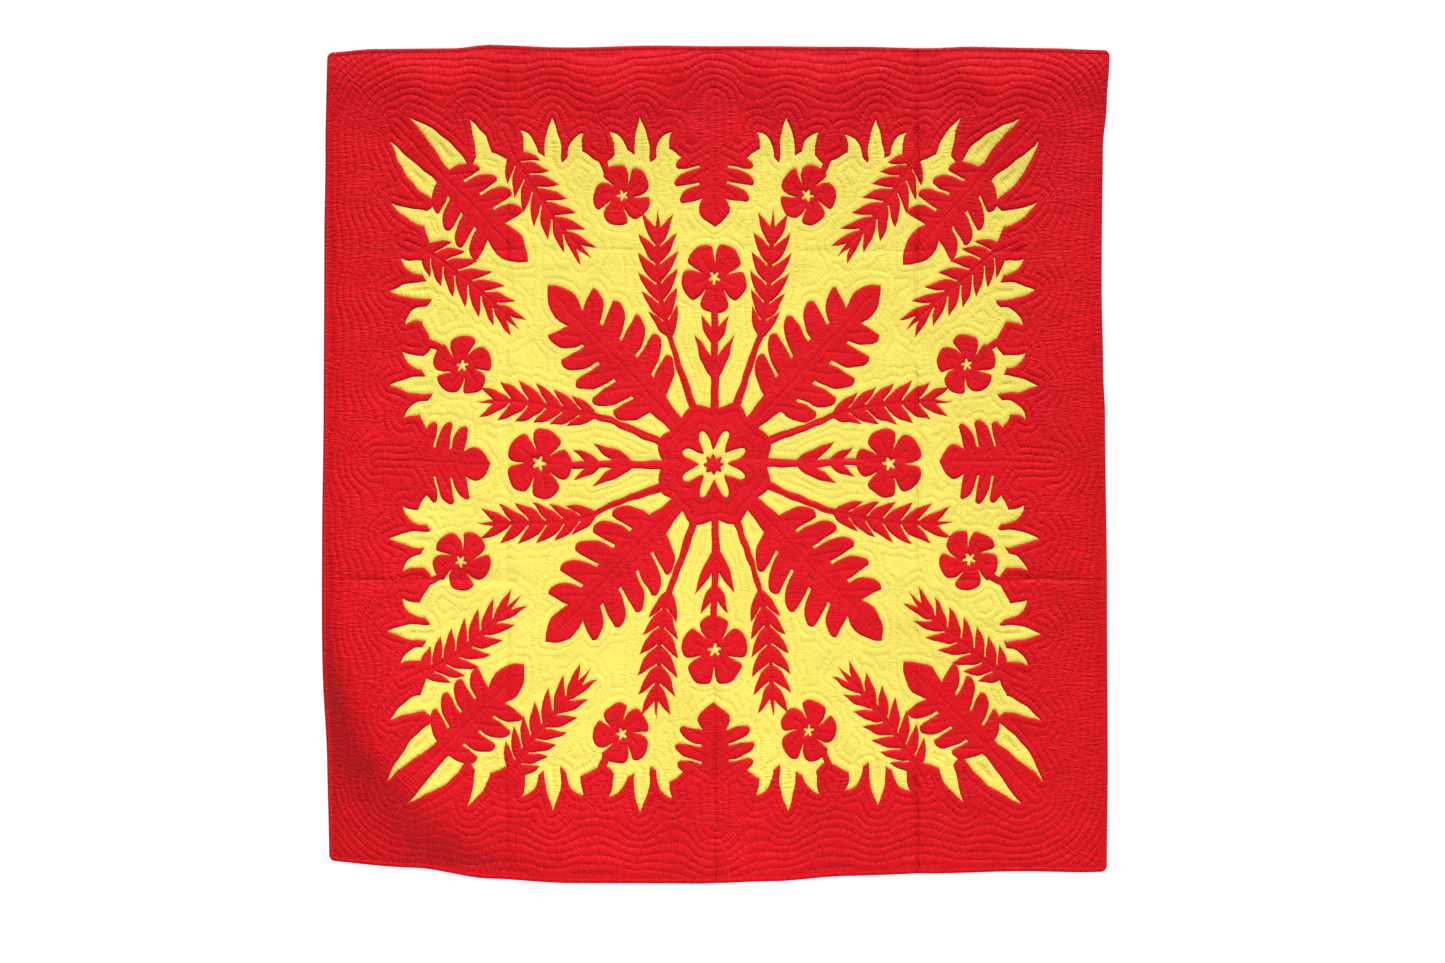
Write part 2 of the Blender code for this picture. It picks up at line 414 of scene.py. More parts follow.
def straight_rib(start: complex, end: complex) -> Rib:
    """A rib with no bow."""
    return Rib(start, (start + end) / 2, end)


def envelope(along: float, peak: float) -> float:
    """A swelling from 0 at both ends to 1 at the peak.

    Args:
        along: The share of the way along.
        peak: Where it is widest, as a share of the way along.

    Returns:
        The swelling, from 0 to 1.
    """
    power = math.log(0.5) / math.log(peak)
    return max(math.sin(math.pi * min(max(along, 0.0), 1.0) ** power), 0.0)


@dataclass(frozen=True)
class Leaf:
    """A broad leaf with rounded fingers on both sides of its rib and one at its tip."""

    rib: Rib
    half_width: float
    fingers: int
    peak: float
    first: float
    stem_half: float = 0.014
    depth: float = 0.66
    lean: float = 0.5
    tip_round: float = 0.45
    last: float = 0.80
    shortest_vein: float = 0.055
    reach_power: float = 0.7
    reach_shift: float = 0.2
    least_finger: float = 0.35
    cleft_gap: float = 0.07
    tip_low: tuple[float, float] = (1.0, 0.97)
    tip_crown: tuple[float, float] = (0.3, 1.06)
    tip_high: tuple[float, float] = (0.9, 0.93)
    back_at: float = 0.24
    back_mix: tuple[float, float] = (0.28, 0.72)
    front_at: float = 0.35
    front_mix: tuple[float, float] = (0.62, 0.38)
    end_swell: float = 2.1
    vein_reach_at: float = 0.7
    vein_foot: tuple[float, float] = (0.15, 0.12)
    vein_end: tuple[float, float] = (0.45, 0.68)
    rib_vein: tuple[float, float] = (0.08, 0.92)
    vein_steps: int = 24

    def reach(self, along: float) -> float:
        """How far the fingers reach from the rib."""
        return self.half_width * envelope(along, self.peak) ** self.reach_power

    def inner(self, along: float) -> float:
        """How far the clefts between the fingers stay from the rib."""
        return max(self.reach(along) * (1 - self.depth), self.stem_half)

    def finger(self, low: float, high: float, sign: int) -> list[complex]:
        """One finger's outline, from the cleft below it to the cleft above it."""
        pitch = high - low
        outer = self.reach((low + high) / 2 + self.reach_shift * pitch)
        outer = max(outer, self.inner(low) + self.least_finger * self.half_width * self.depth)
        spread = self.tip_round * pitch / 2
        tip_at = (low + high) / 2 + self.lean * pitch
        root = self.rib.place(low + self.cleft_gap * pitch, sign * self.inner(low))
        cleft = self.rib.place(high - self.cleft_gap * pitch, sign * self.inner(high))
        tip_low = self.rib.place(tip_at - spread * self.tip_low[0], sign * outer * self.tip_low[1])
        tip_high = self.rib.place(tip_at + spread * self.tip_high[0], sign * outer * self.tip_high[1])
        crown = self.rib.place(tip_at + spread * self.tip_crown[0], sign * outer * self.tip_crown[1])
        behind = self.back_mix[0] * self.inner(low) + self.back_mix[1] * outer
        back = self.rib.place(low + self.back_at * pitch, sign * behind)
        before = self.front_mix[0] * self.inner(high) + self.front_mix[1] * outer
        front = self.rib.place(tip_at + self.front_at * spread, sign * before)
        return (
            Rib(root, back, tip_low).run(steps=5)[:-1]
            + Rib(tip_low, crown, tip_high).run(steps=3)[:-1]
            + Rib(tip_high, front, cleft).run(steps=5)
        )

    def side(self, sign: int) -> list[complex]:
        """One side of the outline, from the stem to just short of the tip."""
        pitch = (self.last - self.first) / self.fingers
        points = [self.rib.place(0.0, sign * self.stem_half)]
        for finger in range(self.fingers):
            low = self.first + finger * pitch
            points += self.finger(low, low + pitch, sign)
        end_half = self.inner(self.last)
        root = self.rib.place(self.last, sign * end_half)
        swell = self.rib.place((self.last + 1) / 2, sign * end_half * self.end_swell)
        return points + Rib(root, swell, self.rib.place(1.0)).run(steps=6)[1:-1]

    def side_veins(self, sign: int) -> list[list[complex]]:
        """A vein for each finger of one side, from near the rib into the finger."""
        pitch = (self.last - self.first) / self.fingers
        veins = []
        for finger in range(self.fingers):
            low = self.first + finger * pitch
            outer = self.reach(low + self.vein_reach_at * pitch)
            if outer > self.shortest_vein:
                start = self.rib.place(low + self.vein_foot[0] * pitch, sign * self.vein_foot[1] * outer)
                end_at = low + (self.vein_end[0] + self.lean) * pitch
                end = self.rib.place(end_at, sign * self.vein_end[1] * outer)
                veins.append(straight_rib(start, end).run(steps=6))
        return veins

    def motif(self) -> Motif:
        """The leaf as a motif, with a vein along its rib and one into each finger."""
        outline = self.side(1) + [self.rib.place(1.0)] + self.side(-1)[::-1]
        veins = (self.rib.run(self.vein_steps, *self.rib_vein), *self.side_veins(1), *self.side_veins(-1))
        return Motif(Cloth.APPLIQUE, outline, veins)


@dataclass(frozen=True)
class Frond:
    """A fern frond: narrow pointed leaflets that lean forward on both sides of a bowed rib."""

    rib: Rib
    half_width: float
    leaflets: int
    peak: float
    first: float
    stem_half: float = 0.008
    lean: float = 1.1
    last: float = 0.93
    foot: float = 1.3
    root_taper: tuple[float, float] = (1.2, 0.6)
    least_swell: float = 0.02
    swell_power: float = 0.6
    last_tip: float = 0.995
    cleft_at: tuple[float, float] = (0.1, 1.05)
    back_at: float = 0.42
    back_mix: tuple[float, float] = (0.25, 0.72)
    front_at: tuple[float, float] = (0.22, 0.45)
    rib_vein: tuple[float, float] = (0.05, 0.95)
    vein_steps: int = 24

    def side(self, sign: int) -> list[complex]:
        """One side of the outline, from the stem to just short of the tip."""
        pitch = (self.last - self.first) / self.leaflets
        points = [self.rib.place(0.0, sign * self.stem_half * self.foot)]
        for leaflet in range(self.leaflets):
            low = self.first + leaflet * pitch
            high = low + pitch
            root_half = self.stem_half * (self.root_taper[0] - self.root_taper[1] * low)
            swell = max(envelope((low + high) / 2, self.peak), self.least_swell)
            outer = self.half_width * swell**self.swell_power
            tip = self.rib.place(min(low + (0.5 + self.lean) * pitch, self.last_tip), sign * outer)
            root = self.rib.place(low, sign * root_half)
            cleft = self.rib.place(high - self.cleft_at[0] * pitch, sign * root_half * self.cleft_at[1])
            behind = self.back_mix[0] * root_half + self.back_mix[1] * outer
            back = self.rib.place(low + self.back_at * pitch, sign * behind)
            front = self.rib.place(high + self.front_at[0] * pitch, sign * self.front_at[1] * outer)
            points += Rib(root, back, tip).run(steps=5)[:-1] + Rib(tip, front, cleft).run(steps=4)
        return points

    def motif(self) -> Motif:
        """The frond as a motif, with a vein along its rib."""
        outline = self.side(1) + [self.rib.place(1.0)] + self.side(-1)[::-1]
        return Motif(Cloth.APPLIQUE, outline, (self.rib.run(self.vein_steps, *self.rib_vein),))


@dataclass(frozen=True)
class Blade:
    """A plain pointed leaf or tongue on a bowed rib."""

    rib: Rib
    half_width: float
    peak: float
    base_half: float = 0.0
    steps: int = 14

    def half(self, along: float) -> float:
        """Half the width at a share of the way along."""
        return max(self.half_width * envelope(along, self.peak), self.base_half * (1 - along))

    def motif(self, cloth: Cloth) -> Motif:
        """The blade as a motif of either cloth."""
        shares = [step / self.steps for step in range(self.steps)]
        left = [self.rib.place(share, self.half(share)) for share in shares]
        right = [self.rib.place(share, -self.half(share)) for share in shares]
        return Motif(cloth, left + [self.rib.place(1.0)] + right[::-1])


@dataclass(frozen=True)
class Stem:
    """A stem that tapers along a bowed rib."""

    rib: Rib
    half_start: float
    half_end: float
    steps: int = 12

    def motif(self) -> Motif:
        """The stem as a motif."""
        left, right = [], []
        for step in range(self.steps + 1):
            share = step / self.steps
            half = self.half_start + share * (self.half_end - self.half_start)
            left.append(self.rib.place(share, half))
            right.append(self.rib.place(share, -half))
        return Motif(Cloth.APPLIQUE, left + right[::-1])


@dataclass(frozen=True)
class Blossom:
    """A blossom with rounded petals, slightly turned, and narrow clefts between them."""

    centre: complex
    radius: float
    turn: float = 0.0
    twist: float = 0.0
    petals: int = 5
    cleft: float = 0.55
    cleft_half: float = 0.05
    steps_each: int = 24
    bulge: tuple[float, float] = (0.88, 0.12)
    cleft_power: float = 1.3
    vein_shares: tuple[float, ...] = (0.3, 0.4, 0.5, 0.6, 0.7)
    eye_steps: int = 8
    eye_radius: float = 0.14
    eye_wave: float = 0.06

    def point(self, angle: float) -> complex:
        """The outline's point at an angle from the turn."""
        share = (angle * self.petals / math.tau) % 1.0
        off = min(share, 1 - share)
        bulge = self.bulge[0] + self.bulge[1] * math.sin(math.pi * share)
        notch = self.cleft * math.exp(-((off / self.cleft_half) ** self.cleft_power))
        radius = self.radius * bulge * (1 - notch)
        return self.centre + cmath.rect(radius, self.turn + angle + self.twist * radius / self.radius)

    def motif(self) -> Motif:
        """The blossom as a motif, with a vein down each petal."""
        steps = self.petals * self.steps_each
        outline = [self.point(math.tau * step / steps) for step in range(steps)]
        veins = []
        for petal in range(self.petals):
            middle = self.turn + math.tau * (petal + 0.5) / self.petals
            veins.append([
                self.centre + cmath.rect(self.radius * share, middle + self.twist * share)
                for share in self.vein_shares
            ])
        return Motif(Cloth.APPLIQUE, outline, tuple(veins))

    def eye(self) -> Motif:
        """The small star cut through to the ground cloth at its middle."""
        steps = self.petals * self.eye_steps
        start = self.turn + math.pi / self.petals + self.twist
        outline = []
        for step in range(steps):
            angle = math.tau * step / steps
            radius = self.radius * (self.eye_radius + self.eye_wave * math.cos(self.petals * angle))
            outline.append(self.centre + cmath.rect(radius, start + angle))
        return Motif(Cloth.GROUND, outline)


@dataclass(frozen=True)
class WavedRing:
    """A closed ring round the middle whose radius waves."""

    radius: float
    wave: float
    waves: int
    turn: float = 0.0
    power: float = 1.0
    steps: int = 160

    def motif(self, cloth: Cloth) -> Motif:
        """The ring, filled with a cloth."""
        outline = []
        for step in range(self.steps):
            angle = math.tau * step / self.steps
            swing = math.cos(self.waves * (angle - self.turn))
            swing = math.copysign(abs(swing) ** self.power, swing)
            outline.append(cmath.rect(self.radius + self.wave * swing, angle))
        return Motif(cloth, outline)


def polar(radius: float, degrees: float) -> complex:
    """A flat point from its distance from the middle and its angle."""
    return cmath.rect(radius, math.radians(degrees))


@dataclass(frozen=True)
class FoldedPattern:
    """A generic folded and cut pattern: the motifs of the eighth from the right axis up to the diagonal.

    Leaves, fronds and blossoms stand on a hub, more of them grow in from the border, and tongues of
    the ground cloth run out into it. Later motifs lie over earlier ones.
    """

    field_half: float = 0.748
    field_wave: float = 0.016
    field_pitch: float = 0.118
    field_squareness: float = 14
    field_steps: int = 120
    field_over: int = 12
    crowns_at: tuple[float, ...] = (0.190, 0.420)
    crown: tuple[tuple[float, float, float], ...] = (
        (-0.056, 0.085, 0.017), (0.0, 0.122, 0.021), (0.056, 0.088, 0.017),
    )
    crown_base: float = 0.715
    crown_foot: float = 0.72
    crown_spread: float = 1.45
    crown_bow: float = 0.07
    crown_lean: float = 0.15
    corner_tongues: tuple[tuple[complex, complex, complex, float], ...] = (
        (0.690 + 0.640j, 0.775 + 0.690j, 0.846 + 0.792j, 0.023),
        (0.705 + 0.594j, 0.775 + 0.590j, 0.842 + 0.640j, 0.019),
    )
    tongue_peak: float = 0.35
    crown_root: float = 1.2
    corner_root: float = 1.1
    hub: WavedRing = WavedRing(0.145, 0.010, 8, math.pi / 8)
    great_leaf: Leaf = Leaf(straight_rib(0.10 * DIAGONAL, 0.615 * DIAGONAL), 0.118, 5, 0.48, 0.20)
    stalk: Stem = Stem(straight_rib(0.12, 0.40), 0.011, 0.008)
    stalk_blades: tuple[Blade, ...] = (
        Blade(Rib(0.20, 0.25 + 0.015j, 0.315 + 0.052j), 0.014, 0.5),
        Blade(Rib(0.29, 0.32 + 0.012j, 0.365 + 0.036j), 0.011, 0.5),
    )
    inner_blossom: Blossom = Blossom(0.455 + 0j, 0.086)
    inner_frond: Frond = Frond(
        Rib(polar(0.13, 22), polar(0.38, 25), polar(0.635, 13.5)), 0.052, 6, 0.70, 0.40
    )
    edge_leaf: Leaf = Leaf(straight_rib(0.90, 0.578), 0.102, 3, 0.60, 0.42, stem_half=0.030, depth=0.64)
    blossom_stem: Stem = Stem(Rib(0.82 + 0.305j, 0.76 + 0.315j, 0.69 + 0.27j), 0.012, 0.008)
    outer_blossom: Blossom = Blossom(0.655 + 0.240j, 0.076, turn=0.6, twist=0.45)
    outer_frond: Frond = Frond(Rib(0.82 + 0.55j, 0.70 + 0.52j, 0.50 + 0.32j), 0.058, 7, 0.46, 0.26, 0.010)
    corner_leaf: Leaf = Leaf(straight_rib(1.22 * DIAGONAL, 0.690 * DIAGONAL), 0.092, 4, 0.66, 0.42, 0.015)
    star: WavedRing = WavedRing(0.062, 0.024, 8, math.pi / 8, 0.7)
    star_dot: WavedRing = WavedRing(0.022, 0.004, 8, steps=60)

    def ground_field(self) -> Motif:
        """The waved square of ground cloth behind the medallion, as a fan that covers the eighth."""
        outline = [0j]
        for step in range(-self.field_over, self.field_steps + self.field_over + 1):
            angle = math.radians(45) * step / self.field_steps
            cosine, sine = abs(math.cos(angle)), abs(math.sin(angle))
            power = self.field_squareness
            radius = self.field_half / (cosine**power + sine**power) ** (1 / power)
            along = radius * min(cosine, sine)
            radius += self.field_wave * math.cos(math.tau * along / self.field_pitch)
            outline.append(cmath.rect(radius, angle))
        return Motif(Cloth.GROUND, outline)

    def tongues(self) -> Iterator[Motif]:
        """Crowns of three tongues of the ground cloth that run out into the border."""
        for at in self.crowns_at:
            for shift, length, half in self.crown:
                base = complex(self.crown_base, at + shift)
                tip = complex(self.crown_foot + length, at + self.crown_spread * shift)
                rib = Rib(base, base + self.crown_bow - 1j * self.crown_lean * shift, tip)
                yield Blade(rib, half, self.tongue_peak, half * self.crown_root).motif(Cloth.GROUND)
        for start, bow, end, half in self.corner_tongues:
            rib = Rib(start, bow, end)
            yield Blade(rib, half, self.tongue_peak, half * self.corner_root).motif(Cloth.GROUND)

    def medallion(self) -> Iterator[Motif]:
        """The hub and what grows out from it."""
        yield self.hub.motif(Cloth.APPLIQUE)
        yield self.great_leaf.motif()
        yield self.stalk.motif()
        for blade in self.stalk_blades:
            yield blade.motif(Cloth.APPLIQUE)
        yield self.inner_blossom.motif()
        yield self.inner_frond.motif()

    def border(self) -> Iterator[Motif]:
        """What grows in from the border."""
        yield self.edge_leaf.motif()
        yield self.blossom_stem.motif()
        yield self.outer_blossom.motif()
        yield self.outer_frond.motif()
        yield self.corner_leaf.motif()

    def openings(self) -> Iterator[Motif]:
        """What is cut through the applique to show the ground cloth, and the dot in the middle star."""
        yield self.inner_blossom.eye()
        yield self.outer_blossom.eye()
        yield self.star.motif(Cloth.GROUND)
        yield self.star_dot.motif(Cloth.APPLIQUE)

    def motifs(self) -> list[Motif]:
        """All motifs, the lowest first."""
        return [
            self.ground_field(),
            *self.tongues(),
            *self.medallion(),
            *self.border(),
            *self.openings(),
        ]


def inside(outline: np.ndarray, points: np.ndarray) -> np.ndarray:
    """Which points lie inside a closed outline, by counting the edges to the right of each.

    Args:
        outline: The outline's points.
        points: The points to test.

    Returns:
        One truth value for each point.
    """
    ends = np.roll(outline, -1)
    height = points.imag[:, None]
    crosses = (outline.imag > height) != (ends.imag > height)
    rise = ends.imag - outline.imag
    rise = np.where(rise == 0, 1.0, rise)
    at = outline.real + (height - outline.imag) * (ends.real - outline.real) / rise
    return (crosses & (points.real[:, None] < at)).sum(axis=1) % 2 == 1


def in_wedge(points: np.ndarray, slack: float = 0.0) -> np.ndarray:
    """Which points lie in the drawn eighth of the cut, or within slack of it."""
    low, high = points.imag > -slack, points.imag < points.real + slack
    return low & high & (points.real < SHEET_HALF)


def split_run(points: list[complex], step: float) -> list[complex]:
    """Adds points to a run so that none of its steps is longer than step."""
    out = [points[0]]
    for start, end in zip(points, points[1:]):
        pieces = max(1, math.ceil(abs(end - start) / step))
        out += [start + (end - start) * piece / pieces for piece in range(1, pieces + 1)]
    return out


def even_run(points: np.ndarray, step: float) -> np.ndarray:
    """The same run with its points spread evenly, about step apart."""
    lengths = np.concatenate([[0.0], np.cumsum(np.abs(np.diff(points)))])
    count = max(2, round(lengths[-1] / step) + 1)
    at = np.linspace(0.0, lengths[-1], count)
    return np.interp(at, lengths, points.real) + 1j * np.interp(at, lengths, points.imag)


@dataclass
class Net:
    """Points and lines on the flat cut that a triangulation has to keep."""

    points: list[complex] = field(default_factory=list)
    lines: list[tuple[int, int]] = field(default_factory=list)

    def add(self, run: Iterable[complex]) -> None:
        """Adds a run of joined points."""
        first = len(self.points)
        self.points += list(run)
        self.lines += [(k, k + 1) for k in range(first, len(self.points) - 1)]

    def add_wedge(self, step: float) -> None:
        """Adds the border of the drawn eighth."""
        corner = complex(SHEET_HALF, SHEET_HALF)
        self.add(split_run([0j, SHEET_HALF + 0j, corner, 0j], step))

    def triangles(self) -> tuple[np.ndarray, np.ndarray]:
        """Triangulates the drawn eighth.

        Returns:
            Flat points, and triangles that turn to the left.
        """
        flat = [Vector((point.real, point.imag)) for point in self.points]
        made = geometry.delaunay_2d_cdt(flat, self.lines, [], 0, WELD)
        points = np.array([complex(*vertex) for vertex in made[0]])
        triangles = np.array([face for face in made[2] if len(face) == 3])
        points.imag[np.abs(points.imag) < ON_LINE] = 0.0
        on_diagonal = np.abs(points.real - points.imag) < ON_LINE
        middle = (points.real + points.imag) / 2
        points[on_diagonal] = middle[on_diagonal] * (1 + 1j)
        corners = points[triangles]
        turn = ((corners[:, 1] - corners[:, 0]).conjugate() * (corners[:, 2] - corners[:, 0])).imag
        triangles[turn < 0] = triangles[turn < 0][:, ::-1]
        whole = (np.abs(turn) > LEAST_TURN) & in_wedge(corners.mean(axis=1))
        return points, triangles[whole]


class CutPattern:
    """The pattern once cut: which cloth shows at each point, and the lines between the two cloths."""

    line_step: float = 0.008
    wedge_step: float = 0.1

    def __init__(self, motifs: list[Motif]) -> None:
        """Finds the lines between the cloths.

        Args:
            motifs: The motifs of the drawn eighth, the lowest first.
        """
        self.motifs = [image for motif in motifs for image in self.images(motif)]
        net = Net()
        net.add_wedge(self.wedge_step)
        for motif in self.motifs:
            net.add(split_run([*motif.outline, motif.outline[0]], self.line_step))
        points, triangles = net.triangles()
        applique = self.is_applique(points[triangles].mean(axis=1))
        self.outlines = self.between(points, triangles, applique)
        self.veins = [
            vein for motif in self.motifs for vein in motif.veins if in_wedge(np.array(vein), WELD).all()
        ]

    @staticmethod
    def images(motif: Motif) -> list[Motif]:
        """A motif and its mirror images that reach into the drawn eighth."""
        found = []
        for mirror in (lambda p: p, lambda p: p.conjugate(), lambda p: 1j * p.conjugate()):
            outline = [mirror(point) for point in motif.outline]
            if in_wedge(np.array(outline)).any():
                veins = tuple([mirror(point) for point in vein] for vein in motif.veins)
                found.append(Motif(motif.cloth, outline, veins))
        return found

    def is_applique(self, points: np.ndarray) -> np.ndarray:
        """Which points the applique covers, where the rest shows the ground cloth."""
        covered = np.ones(len(points), dtype=bool)
        for motif in self.motifs:
            outline = np.array(motif.outline)
            near = (
                (points.real > outline.real.min())
                & (points.real < outline.real.max())
                & (points.imag > outline.imag.min())
                & (points.imag < outline.imag.max())
            )
            found = np.flatnonzero(near)
            covered[found[inside(outline, points[found])]] = motif.cloth is Cloth.APPLIQUE
        return covered

    @staticmethod
    def between(
        points: np.ndarray, triangles: np.ndarray, applique: np.ndarray
    ) -> list[tuple[complex, complex]]:
        """The edges that part the two cloths."""
        sides = defaultdict(list)
        for triangle, is_applique in zip(triangles.tolist(), applique.tolist()):
            for start, end in zip(triangle, triangle[1:] + triangle[:1]):
                sides[min(start, end), max(start, end)].append(is_applique)
        return [
            (complex(points[start]), complex(points[end]))
            for (start, end), cloths in sides.items()
            if len(cloths) == 2 and cloths[0] != cloths[1]
        ]


class EchoField:
    """The echo quilting: how far each point lies from the motifs' outlines, and the lines drawn there."""

    grid_step: float = 0.003
    sample_step: float = 0.0012
    margin: float = 0.012
    touching: float = 0.6
    round_ways: int = 8
    round_reach: float = 0.42
    round_from: float = 0.020
    round_over: float = 0.060

    def __init__(self, pattern: CutPattern) -> None:
        """Samples the outlines and veins, and their mirror images across both sides of the eighth.

        Args:
            pattern: The cut pattern.
        """
        samples = []
        for start, end in pattern.outlines:
            samples += split_run([start, end], self.sample_step)
        for vein in pattern.veins:
            samples += split_run(vein, self.sample_step)
        here = np.array(samples)
        everywhere = np.concatenate([here, here.conjugate(), 1j * here.conjugate()])
        self.tree = kdtree.KDTree(len(everywhere))
        for index, point in enumerate(everywhere.tolist()):
            self.tree.insert((point.real, point.imag, 0.0), index)
        self.tree.balance()

    def at(self, points: np.ndarray) -> np.ndarray:
        """The echo distance: from the nearest outline, or near the cut's edge from the binding's seam.

        It is averaged over a ring of places that widens away from the motifs, as the echo lines grow
        rounder the further out they are sewn.

        Args:
            points: Flat points.

        Returns:
            Distances in metres.
        """
        away = self.away(points)
        reach = self.round_reach * away * smooth((away - self.round_from) / self.round_over)
        far = np.flatnonzero(reach > 0)
        ways = [cmath.rect(1, math.tau * way / self.round_ways) for way in range(self.round_ways)]
        around = [self.away(points[far] + reach[far] * way) for way in ways]
        away[far] = (away[far] + sum(around)) / (1 + self.round_ways)
        return np.minimum(away, self.from_edge_line(points) + EDGE_ECHOES * ECHO_PITCH)

    def away(self, points: np.ndarray) -> np.ndarray:
        """The distance from the nearest outline or vein."""
        nearest = self.tree.find
        away = np.array([nearest((point.real, point.imag, 0.0))[2] for point in points.tolist()])
        return np.where(away < self.sample_step * self.touching, 0.0, away)

    @staticmethod
    def from_edge_line(points: np.ndarray) -> np.ndarray:
        """The distance from the line quilted along the binding's seam, which rounds the corners widely."""
        straight = SEAM_HALF - EDGE_ARC_RADIUS
        across, up = np.abs(points.real), np.abs(points.imag)
        from_seam = SEAM_HALF - from_middle(points)
        from_arc = EDGE_ARC_RADIUS - np.hypot(across - straight, up - straight)
        in_corner = np.minimum(across, up) > straight
        return np.where(in_corner, np.abs(from_arc), np.maximum(from_seam, 0.0))

    def contours(self, phases: tuple[float, ...], step: float) -> dict[float, list[np.ndarray]]:
        """The lines along which the echo distance has each phase.

        Args:
            phases: Places between one quilted line, 0, and the next, 1.
            step: How far apart the points of each line are to be.

        Returns:
            For each phase, its lines over the drawn eighth.
        """
        count = int((SHEET_HALF + 2 * self.margin) / self.grid_step) + 2
        along = -self.margin + self.grid_step * np.arange(count)
        u, v = np.meshgrid(along, along, indexing="ij")
        wanted = (v > -self.margin) & (v < u + self.margin)
        values = np.full(u.shape, np.nan)
        values[wanted] = self.at((u + 1j * v)[wanted])
        last = int(np.nanmax(values) / ECHO_PITCH) + 1
        lines: dict[float, list[np.ndarray]] = {phase: [] for phase in phases}
        for echo in range(last + 1):
            for phase in phases:
                level = (echo + phase) * ECHO_PITCH
                if level <= 0:
                    continue
                for run in self.level_runs(values, level):
                    if np.abs(np.diff(run)).sum() > step:
                        lines[phase].append(even_run(run, step))
        return lines

    def level_runs(self, values: np.ndarray, level: float) -> list[np.ndarray]:
        """The runs of points where the grid's values cross a level, over its cells cut into triangles."""
        rows, columns = values.shape
        ids = np.arange(rows * columns).reshape(rows, columns)
        above = values > level
        known = ~np.isnan(values)
        corners = {
            "low": (ids[:-1, :-1], ids[1:, :-1], ids[1:, 1:]),
            "high": (ids[:-1, :-1], ids[1:, 1:], ids[:-1, 1:]),
        }
        links: dict[tuple[int, int], list[tuple[int, int]]] = defaultdict(list)
        flat_above, flat_known = above.ravel(), known.ravel()
        for triple in corners.values():
            a, b, c = (part.ravel() for part in triple)
            usable = flat_known[a] & flat_known[b] & flat_known[c]
            total = flat_above[a].astype(int) + flat_above[b] + flat_above[c]
            crossed = usable & (total > 0) & (total < 3)
            for triangle in zip(a[crossed].tolist(), b[crossed].tolist(), c[crossed].tolist()):
                ends = [
                    (min(p, q), max(p, q))
                    for p, q in zip(triangle, triangle[1:] + triangle[:1])
                    if flat_above[p] != flat_above[q]
                ]
                links[ends[0]].append(ends[1])
                links[ends[1]].append(ends[0])
        return [self.crossings(chain, values, level) for chain in chains(links)]

    def crossings(self, chain: list[tuple[int, int]], values: np.ndarray, level: float) -> np.ndarray:
        """Where the grid edges of a chain cross the level."""
        columns = values.shape[1]
        edges = np.array(chain)
        flat = values.ravel()
        start, end = flat[edges[:, 0]], flat[edges[:, 1]]
        share = (level - start) / (end - start)
        places = [(edges[:, k] // columns) + 1j * (edges[:, k] % columns) for k in (0, 1)]
        grid = places[0] + share * (places[1] - places[0])
        return grid * self.grid_step - self.margin * (1 + 1j)


def chains(links: dict[tuple[int, int], list[tuple[int, int]]]) -> list[list[tuple[int, int]]]:
    """Joins linked pairs into runs, those with ends first and then the closed ones."""
    used: set[tuple[int, int]] = set()
    found = []
    starts = [key for key, others in links.items() if len(others) == 1] + list(links)
    for start in starts:
        if start in used:
            continue
        run = [start]
        used.add(start)
        while True:
            onward = [key for key in links[run[-1]] if key not in used]
            if not onward:
                break
            run.append(onward[0])
            used.add(onward[0])
        if len(run) > 2 and run[0] in links[run[-1]]:
            run.append(run[0])
        if len(run) > 1:
            found.append(run)
    return found


